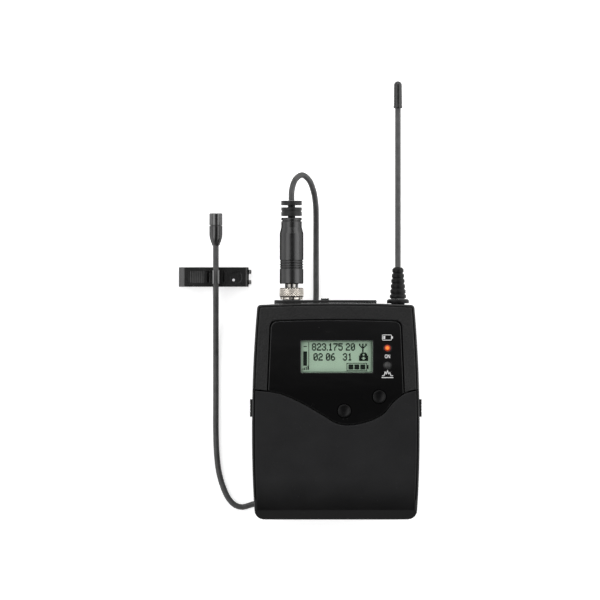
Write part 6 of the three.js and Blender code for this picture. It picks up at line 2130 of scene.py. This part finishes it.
@dataclass
class Plug:
    """The screw-lock plug: a knurled nut, a bright sleeve, a ringed body and a ribbed strain relief."""

    pack: Pack
    nut: Pair = (84.8, 88.5)
    nut_radius: float = 4.75
    nut_bore: Pair = (3.8, 2.65)  # radii of its thread and of its lip
    knurls: int = 26
    rows: int = 4  # of knurls
    knurl_rise: float = 0.24
    sleeve_radii: Pair = (1.1, 2.35)
    sleeve_foot: float = 85.3
    key_ribs: int = 7
    key_radius: float = 2.32
    key_size: Pair = (0.74, 0.5)
    bottom: float = 90.0
    length: float = 25.1
    radius: float = 4.54
    bore: Pair = (1.1, 1.6)  # radii of the body's bore and of the relief's seat
    rings: int = 4
    ring: Triple = (5.95, 0.95, 0.38)  # height of the lowest groove, pitch and depth
    neck: Pair = (3.94, 3.9)  # radius and length
    shoulder: float = 2.0
    relief: float = 115.1
    relief_radii: Triple = (1.4, 3.98, 3.78)  # core, discs and the slot in the lower two
    discs: tuple[Pair, ...] = ((115.85, 117.45), (118.05, 119.2), (119.95, 121.75))

    def at_jack(self, profile: Sequence[Pair], segments: int = 72) -> Solid:
        """Turns a profile about the jack's own line."""
        return Solid.turned(profile, (self.pack.jack_x, self.pack.axis), segments)

    def knurled_nut(self) -> list[Piece]:
        """Makes the nut, with rows of diamond points round it.

        Returns:
            The nut and its points.
        """
        (low, high), (thread, lip) = self.nut, self.nut_bore
        skin = self.nut_radius - 0.28
        outside = [(thread, low), (skin - 0.15, low), (skin, low + 0.2), (skin, high - 0.2)]
        inside = [(skin - 0.15, high), (lip, high), (lip, high - 0.9), (thread, high - 0.9), (thread, low)]
        body = self.at_jack(softened([*outside, *inside], 0.14), 96)
        step = 2 * math.pi / self.knurls
        half = step * skin / 2
        rise = (high - low - 0.3) / self.rows
        point = Solid.of(
            [(-half, 0, 0), (0, -rise, 0), (half, 0, 0), (0, rise, 0), (0, 0, self.knurl_rise), (0, 0, -0.2)],
            [(0, 1, 4), (1, 2, 4), (2, 3, 4), (3, 0, 4), (1, 0, 5), (2, 1, 5), (3, 2, 5), (0, 3, 5)],
        )
        x, z = self.pack.jack_x, self.pack.axis
        spots = []
        for row in range(1, 2 * self.rows):
            for k in range(self.knurls):
                angle = step * (k + 0.5 * (row % 2))
                place = (x + skin * math.sin(angle), low + 0.15 + rise * row / 2, z + skin * math.cos(angle))
                spots.append(Spot(place, (0, angle, 0), (0.90, 0.45, 1.0)))
        knurl = Repeat.solid(point, spots, NICKEL)
        return [
            # The nut's body is finished in nickel painted dark as the shade between the points.
            self.pack.finish(body, "fine_plug_nut", NICKEL_IN_PAINTED_SHADE, "plug_nut", body=Body.NUT, sharp=22),
            self.pack.finish(knurl, "plug_nut_knurl", NICKEL, body=Body.NUT, sharp=12),
        ]

    def sleeve(self) -> Piece:
        """Makes the bright sleeve between nut and body.

        Returns:
            The sleeve.
        """
        (inner, outer), foot, end = self.sleeve_radii, self.sleeve_foot, self.bottom - 0.02
        profile = [(inner, foot), (outer, foot), (outer, end), (inner, end), (inner, foot)]
        sleeve = self.at_jack(softened(profile, 0.1))
        return self.pack.finish(sleeve, "fine_plug_sleeve", TURNED_NICKEL, "plug_sleeve")

    def keys(self) -> Piece:
        """Makes the dark key ribs round the sleeve.

        Returns:
            The ribs.
        """
        (width, depth), span = self.key_size, (self.nut[1] + 0.1, self.bottom - 0.01)
        rib = Solid.block(about(0, width), span, about(0, depth)).eased(0.08, 2)
        middle = (self.pack.jack_x, self.pack.axis)
        ribs = Repeat.ring(rib, self.key_ribs, middle, self.key_radius, PLUG_BLACK)
        return self.pack.finish(ribs, "plug_key_ribs", PLUG_BLACK)

    def body(self) -> Piece:
        """Makes the body with its rings of grooves, its shoulder and its neck.

        Returns:
            The body.
        """
        low, top, (bore, seat) = self.bottom, self.bottom + self.length, self.bore
        r, (neck, neck_length), (first, pitch, depth) = self.radius, self.neck, self.ring
        profile = [(bore, low), (r - 0.25, low), (r, low + 0.25)]
        for i in range(self.rings):
            y = low + first + pitch * i
            profile += [(r, y - 0.26), (r - depth, y - 0.15), (r - depth, y + 0.15), (r, y + 0.26)]
        foot = top - neck_length
        profile += [(r, foot - self.shoulder), (neck + 0.1, foot), (neck, foot + 0.4)]
        profile += [(neck, top - 1.30), (neck - 0.4, top - 1.22), (neck - 0.4, top - 0.82), (neck, top - 0.75)]
        profile += [(neck, top - 0.1), (neck - 0.3, top + 0.15), (seat, top + 0.15)]
        profile += [(seat, top - 5.3), (bore, top - 5.3), (bore, low)]
        solid = self.at_jack(softened(profile, 0.08), 96)
        return self.pack.finish(solid, "fine_plug_body", PLUG_BLACK, "plug_body", sharp=40)

    def strain_relief(self) -> Piece:
        """Makes the rubber relief: three discs on a core, the lower two with only a slot between them.

        Returns:
            The relief.
        """
        base, (core, rim, slot) = self.relief, self.relief_radii
        (a, b), (c, d), (e, f) = self.discs
        profile = [(0, base - 5), (core, base - 5), (core, a), (rim, a), (rim, b), (slot, b), (slot, c), (rim, c)]
        profile += [(rim, d), (core, d), (core, e), (rim, e), (rim, f), (0, f)]
        relief = self.at_jack(softened(profile, 0.16))
        return self.pack.finish(relief, "fine_plug_relief", RUBBER, "plug_strain_relief", sharp=40)

    def build(self) -> list[Piece]:
        """Makes the plug and returns its pieces."""
        return [*self.knurled_nut(), self.sleeve(), self.keys(), self.body(), self.strain_relief()]


@dataclass
class Antenna:
    """The flexible antenna: a collar, a ribbed boot, the sleeved rod and its tip."""

    pack: Pack
    base: Pair = (82.5, 84.2)
    base_radius: float = 4.25
    stud_length: float = 5.5
    boot: Pair = (84.5, 96.4)
    boot_radii: Pair = (3.15, 2.2)
    ribs: int = 6
    rib_depth: float = 0.45
    rod_radius: float = 1.1
    tip: Pair = (157.0, 167.4)
    tip_radii: Triple = (1.72, 1.62, 1.55)  # of its collar, its foot and its crown

    def at_stud(self, profile: Sequence[Pair], segments: int = 56) -> Solid:
        """Turns a profile about the antenna's own line."""
        return Solid.turned(profile, (self.pack.antenna_x, self.pack.axis), segments)

    def build(self) -> None:
        """Makes the antenna's four pieces."""
        p = self.pack
        low, high = self.base
        r, stud, foot = self.base_radius, p.stud_radius, low - self.stud_length
        collar = [(0, foot), (stud, foot), (stud, low), (r, low), (r, high - 0.5), (r - 0.7, high), (0, high)]
        p.finish(self.at_stud(softened(collar, 0.3)), "fine_antenna_base", BOOT, "antenna_base")
        (low, high), (wide, narrow) = self.boot, self.boot_radii
        pitch = (high - low) / self.ribs
        profile = [(0, low - 0.28), (wide - 0.5, low - 0.28), (wide - 0.5, low)]
        for i in range(self.ribs):
            r, start = wide + (narrow - wide) * i / (self.ribs - 1), low + i * pitch
            core = r - self.rib_depth
            profile += [(r, start), (r, start + 0.60 * pitch)]
            profile += [(core, start + 0.74 * pitch), (core, start + 0.96 * pitch)]
        bore = self.rod_radius + GAP
        profile += [(bore, high - 0.3), (bore, low + 1), (0, low + 1)]
        p.finish(self.at_stud(softened(profile, 0.28, 4)), "fine_antenna_boot", BOOT, "antenna_boot", sharp=50)
        r, foot, (low, high) = self.rod_radius, low + 1.3, self.tip
        rod = self.at_stud([(0, foot), (r, foot), (r, high - 2.2), (r - 0.2, high - 2), (0, high - 2)], 40)
        p.finish(rod, "fine_antenna_rod", ANTENNA, "antenna_rod")
        wide, foot, crown = self.tip_radii
        profile = [(bore, low), (wide - 0.12, low), (wide, low + 0.12), (wide, low + 0.9), (foot, low + 1.15)]
        profile += [(crown, high - crown)]
        angles = (0.2, 0.45, 0.7, 0.95, 1.2, 1.4)
        profile += [(crown * math.cos(a), high - crown + crown * math.sin(a)) for a in angles]
        profile += [(0, high), (0, high - 1.7), (bore, high - 1.7), (bore, low)]
        p.finish(self.at_stud(profile), "fine_antenna_tip", ANTENNA_TIP, "antenna_tip", sharp=50)


@dataclass
class BeltClip:
    """The bowed wire clip behind the transmitter."""

    pack: Pack
    bow: float = 9.6
    slope: float = 14.0
    tip: Pair = (9.0, -1.3)
    bend: float = 2.0

    def build(self) -> None:
        """Makes the wire with both ends bent into the lugs."""
        half, (y, z) = self.pack.clip_half, self.pack.clip_pivot
        side = [(half - self.pack.clip_end, y, z), (half, y, z), (half, y - self.slope, -self.bow)]
        side += [(half, self.tip[0] + self.slope, -self.bow), (half, *self.tip)]
        knots = side + [(-x, y, z) for x, y, z in reversed(side)]
        wire = Solid.tube(rounded_line(knots, self.bend, 10), self.pack.clip_wire, 24)
        self.pack.finish(wire.eased(0.2, 3, 60), "fine_belt_clip", WIRE, "belt_clip", body=Body.BELT_CLIP, sharp=50)


@dataclass
class Microphone:
    """The small round microphone with its vented cap, mesh and tapering housing."""

    place: Triple = (-32.2, 0.0, 7.4)
    radius: float = 2.48
    wall: float = 0.5
    seam: float = 28.6
    top: float = 33.3
    mouth: float = 1.2
    bore: float = 1.18
    seat: float = 1.55
    taper: float = 25.3
    tail: float = 21.1
    flare: tuple[Pair, ...] = (  # radius and height up the taper
        (1.38, 21.1), (1.62, 21.7), (1.84, 22.3), (2.04, 22.9), (2.2, 23.5), (2.34, 24.1), (2.44, 24.7),
    )
    grommet: float = 1.05
    cord_end: float = 21.45

    def build(self) -> None:
        """Makes cap, mesh, housing and grommet."""
        middle = (self.place[0], self.place[2])
        r, inner, top = self.radius, self.radius - self.wall, self.top
        low, under = self.seam + 0.06, top - self.wall
        cap = [(inner, low), (r - 0.08, low), (r, low + 0.1), (r, top - 0.3), (r - 0.1, top - 0.1), (r - 0.35, top)]
        cap += [(self.mouth, top), (self.mouth, under), (inner, under), (inner, low)]
        Solid.turned(softened(cap, 0.12), middle).piece("fine_mic_cap", MIC_CAP, "mic_cap", sharp=45)
        level, wide = under - 0.1, inner - 0.2
        sheet = [(0, level - 0.3), (wide, level - 0.3), (wide, level - 0.05), (0, level + 0.05)]
        mesh = Solid.turned(sheet, middle, 48)
        mesh.piece("fine_mic_mesh", SCREEN, "mic_screen")
        high, foot, bore, seat, spigot = self.seam - 0.06, self.tail - 0.2, self.bore, self.seat, inner - 0.04
        housing = [(bore, foot), (bore + 0.08, foot), *self.flare, (r, self.taper), (r, high - 0.1), (r - 0.1, high)]
        housing += [(spigot, high), (spigot, high + 0.45), (seat, high + 0.45), (seat, self.taper + 1)]
        solid = Solid.turned(softened([*housing, (bore, self.taper), (bore, foot)], 0.2), middle)
        solid.piece("fine_mic_housing", MIC_BLACK, "mic_housing", sharp=45)
        grommet = [(0, self.cord_end), (self.grommet, self.cord_end), (self.grommet, self.taper), (0, self.taper)]
        Solid.turned(grommet, middle, 48).piece("fine_mic_grommet", RUBBER, "mic_strain_relief")


@dataclass
class TieClip:
    """The sprung tie clip: two jaws on a pin, and the open ring that holds the cable."""

    place: Triple = (-32.2, 8.9, 0.0)
    sheet: float = 0.9
    gap: float = 3.1  # between the jaws
    left: float = 14.2
    right: float = 12.4
    width: float = 7.5
    bite_x: float = 9.4
    teeth: Triple = (4.0, 1.7, 1.4)  # pitch, width and rise
    pin: Pair = (-5.0, 2.45)
    pin_radius: float = 0.5
    ear: float = 0.7
    ear_radius: float = 1.4
    slots: tuple[float, ...] = (-2.9, 2.9)
    slot: Pair = (0.85, 4.2)
    eye: Pair = (6.75, -1.15)
    eye_radius: float = 0.5
    bend: float = 2.2  # how far from its left end the front jaw begins to slope
    fall: tuple[Pair, ...] = ((0.2, 0.0), (-0.2, -0.04), (-0.9, -0.22), (-1.2, -0.36))
    pads: tuple[tuple[Pair, Pair, float, int, float], ...] = (  # ranges, corner radius and steps, and depth
        ((-10.3, -4.6), (-2.2, 2.4), 0.5, 6, 0.35),
        ((5.65, 9.93), (-2.3, 2.05), 1.9, 10, 0.40),
    )
    grooves: tuple[float, ...] = (-9.6, -8.74, -7.88, -7.02, -6.16, -5.3)  # in the left pad
    turns: int = 4  # of the spring
    spring: Triple = (1.05, 0.85, 0.22)  # its radius, pitch and wire
    rivet: float = 0.9
    holder_length: float = 5.3
    holder_bore: float = 1.2
    holder_wall: float = 0.3
    mouth: float = 1.2  # of the holder, above the cable
    lip: tuple[Pair, ...] = ((0.4, 1.34), (0.4, 1.62), (1.32, 1.28), (1.32, 0.8))  # beside it, from the cable
    cable_rise: float = 7.4

    def finish(self, solid: Solid, name: str, finish: Finish, *nodes: str, body: Body = Body.TIE_CLIP) -> Piece:
        """Moves a solid to the clip's place and finishes it as a piece."""
        return solid.moved(Matrix.Translation(self.place)).piece(name, finish, *nodes, body=body)

    def ears(self, outer: float, reach: float) -> list[Solid]:
        """Makes a pair of ears round the pin.

        Args:
            outer: How far from the middle they reach.
            reach: The level of the sheet that they grow from.

        Returns:
            The ears.
        """
        outline = tab(self.ear_radius, self.pin, reach)
        return [Solid.slab(outline, about(side * (outer - self.ear / 2), self.ear), Axis.Y) for side in (-1, 1)]

    def front(self) -> None:
        """Makes the front jaw with its sloped end, its pads, its slots, its eye and its bent bite."""
        low = self.sheet + self.gap
        high = low + self.sheet
        bite, turn, left, right = self.sheet + GAP, -self.left + self.bend, -self.left, self.right
        inner = [(self.bite_x, low), (right - self.sheet, bite + 0.6), (right - self.sheet, bite)]
        outer = [(right, bite), (right, bite + 1.6), (right - 0.7, high)]
        face = softened([(turn + 1, low), *inner, *outer, (turn + 1, high)], 0.5, 4)
        slope = [(turn + x, high + z) for x, z in self.fall]
        end = [(turn - 2.1, low + 0.12), (left, low + 0.04), (left + 0.1, low)]
        jaw = Solid.slab([*face, *slope, *end], about(0, self.width), Axis.Y)
        pads = [
            Solid.slab(rounded_rectangle(across, up, radius, steps), (high - depth, high + 1))
            for across, up, radius, steps, depth in self.pads
        ]
        pads[0].cut(*(Solid.block(about(x, 0.3), EVERYWHERE, (-BIG, high - 0.16)) for x in self.grooves))
        width, height = self.slot
        slots = (rounded_rectangle(about(x, width), about(0, height), 0.3) for x in self.slots)
        jaw.cut(
            *pads,
            *(Solid.slab(slot, EVERYWHERE) for slot in slots),
            Solid.bar(self.rivet + GAP, EVERYWHERE, (0, 0), Axis.Z, 32),
            Solid.bar(self.eye_radius, EVERYWHERE, self.eye, Axis.Z, 32),
        )
        jaw.eased(0.12, 2)
        jaw.join(*self.ears(self.width / 2, low + self.sheet / 2))
        jaw.cut(Solid.bar(self.pin_radius + GAP, EVERYWHERE, self.pin, Axis.Y, 32))
        self.finish(jaw, "fine_front_jaw", CLIP_BLACK, "clip_front_jaw")

    def rear(self) -> None:
        """Makes the rear jaw with its turned-up toothed edge."""
        tip, across, (pitch, tooth, rise) = self.right + GAP, about(0, self.width), self.teeth
        plate = Solid.block((-self.left, tip - GAP + 0.02), across, (0, self.sheet))
        plate.cut(Solid.bar(self.eye_radius, EVERYWHERE, self.eye, Axis.Z, 32))
        plate.eased(0.12, 2)
        teeth = Solid.block((tip - GAP, tip + self.sheet), across, (0, self.sheet))
        teeth.join(Solid.block((tip, tip + self.sheet), across, (0, self.sheet + rise)))
        reach = (tip - GAP + 0.1, BIG)
        teeth.cut(*(Solid.block(reach, about(i * pitch, pitch - tooth), EVERYWHERE) for i in (-1, 0, 1)))
        self.finish(teeth.eased(0.14, 2), "clip_teeth", CLIP_WORN, body=Body.TIE_CLIP_JAW)
        plate.join(*self.ears(self.width / 2 - self.ear - GAP, self.sheet / 2))
        plate.cut(Solid.bar(self.pin_radius + GAP, EVERYWHERE, self.pin, Axis.Y, 32))
        self.finish(plate, "fine_rear_jaw", CLIP_BLACK, "clip_rear_jaw", body=Body.TIE_CLIP_JAW)

    def coil(self) -> None:
        """Makes the coil spring on its pin."""
        (x, z), (radius, pitch, wire), turns, steps = self.pin, self.spring, self.turns, 20
        points = []
        for step in range(turns * steps + 1):
            angle, y = 2 * math.pi * step / steps, pitch * (step / steps - turns / 2)
            points.append(Vector((x + radius * math.cos(angle), y, z + radius * math.sin(angle))))
        coil = Solid.tube(points, wire, 10)
        self.finish(coil, "fine_clip_spring", WIRE, "clip_spring")
        half = self.width / 2
        pin = softened([(0, -half), (self.pin_radius, -half), (self.pin_radius, half), (0, half)], 0.15)
        turned = Solid.turned(pin, self.pin, 32)
        self.finish(turned, "fine_clip_pin", WIRE, "clip_pin")

    def holder(self) -> None:
        """Makes the open ring that the cable lies in, on its riveted foot."""
        bore, rise, along = self.holder_bore, self.cable_rise, about(0, self.holder_length)
        outer, foot = bore + self.holder_wall, 2 * self.sheet + self.gap + GAP
        ring = Solid.bar(outer, along, (0, rise), Axis.Y, 72)
        base = Solid.block(about(0, 2 * outer), along, (foot, foot + 0.5))
        ring.join(base, Solid.block(about(0, outer), along, (foot, rise)))
        ring.cut(Solid.bar(bore, EVERYWHERE, (0, rise), Axis.Y, 64))
        for side in (-1, 1):
            lip = [(side * x, rise + z) for x, z in self.lip]
            ring.join(Solid.slab(lip, along, Axis.Y))
        ring.cut(Solid.bar(bore, EVERYWHERE, (0, rise), Axis.Y, 64))
        ring.cut(Solid.block(about(0, self.mouth), EVERYWHERE, (rise, BIG)))
        ring.eased(0.07, 2)
        rivet = Solid.bar(self.rivet, (self.sheet + self.gap - GAP, foot + 0.2), (0, 0), Axis.Z, 32)
        ring.join(rivet)
        self.finish(ring, "fine_cable_holder", HOLDER_BLACK, "cable_holder")

    def build(self) -> None:
        """Makes the clip's pieces."""
        self.front()
        self.rear()
        self.coil()
        self.holder()


@dataclass
class Inside:
    """What lies inside the case: the two cells, made anew, and the plain solids' own finishes."""

    pack: Pack
    cell_length: float = 50.5
    cell_radius: float = 7.25
    cell_z: float = 12.2
    nub: Pair = (2.7, 1.0)
    lower: float = 11.5
    upper: float = 26.5

    FINISHES = {
        "main_board": BOARD,
        "shield_can": TINNED,
        "battery_tray": SWITCH_PLASTIC,
        "contact_bridge": GOLD,
        "contact_lower": GOLD,
        "contact_upper": GOLD,
        "lcd_module": FILM,
        "rocker_pad": RUBBER,
        "power_switch": TINNED,
        "set_switch": TINNED,
        "mute_switch": TINNED,
        "jack_socket": TURNED_NICKEL,
        "plug_contact_pin": GOLD,
        "door_hinge_pin": WIRE,
        "mic_capsule": DARK_INSIDE_AND_NOTCH_SHADE,
    }

    def cell(self, height: float, side: int, node: str) -> None:
        """Makes a cell with its shrunk sleeve's rolled edges and its nub.

        Args:
            height: How high it lies.
            side: 1 with its nub to the right, -1 to the left.
            node: The plain solid it stands for.
        """
        half, r, (nub, rise) = self.cell_length / 2, self.cell_radius, self.nub
        end = half - rise
        profile = [(0, -half), (r - 1.2, -half), (r - 0.9, -half + 0.12), (r, -half + 0.5), (r, end - 0.5)]
        profile += [(r - 0.9, end - 0.12), (r - 1.2, end)]
        profile += [(nub, end), (nub, half - 0.15), (nub - 0.2, half), (0, half)]
        cell = Solid.turned(softened(profile, 0.25), (0, 0), 64)
        cell.moved(Matrix.Rotation(-side * math.pi / 2, 4, "Z"))
        cell.moved(Matrix.Translation((0, height, self.cell_z)))
        self.pack.finish(cell, f"fine_{node}", CELL, node)

    def build(self) -> None:
        """Makes the cells and gives the plain solids their finishes."""
        self.cell(self.lower, 1, "battery_lower")
        self.cell(self.upper, -1, "battery_upper")
        for name, finish in self.FINISHES.items():
            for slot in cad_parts[name].material_slots:
                slot.material = finish.material()


# ---------------- the set


def main() -> None:
    """Builds the studio and the set."""
    logging.basicConfig(level=logging.INFO, format="%(name)s: %(message)s")
    Studio().build()
    cable = Cable()
    cord = cable.build()
    pack = Pack()
    plug = Plug(pack).build()
    for kind in (Case, Door, Display, Top, Antenna, BeltClip, Inside):
        kind(pack).build()
    Microphone().build()
    TieClip().build()


if __name__ == "__main__":
    main()
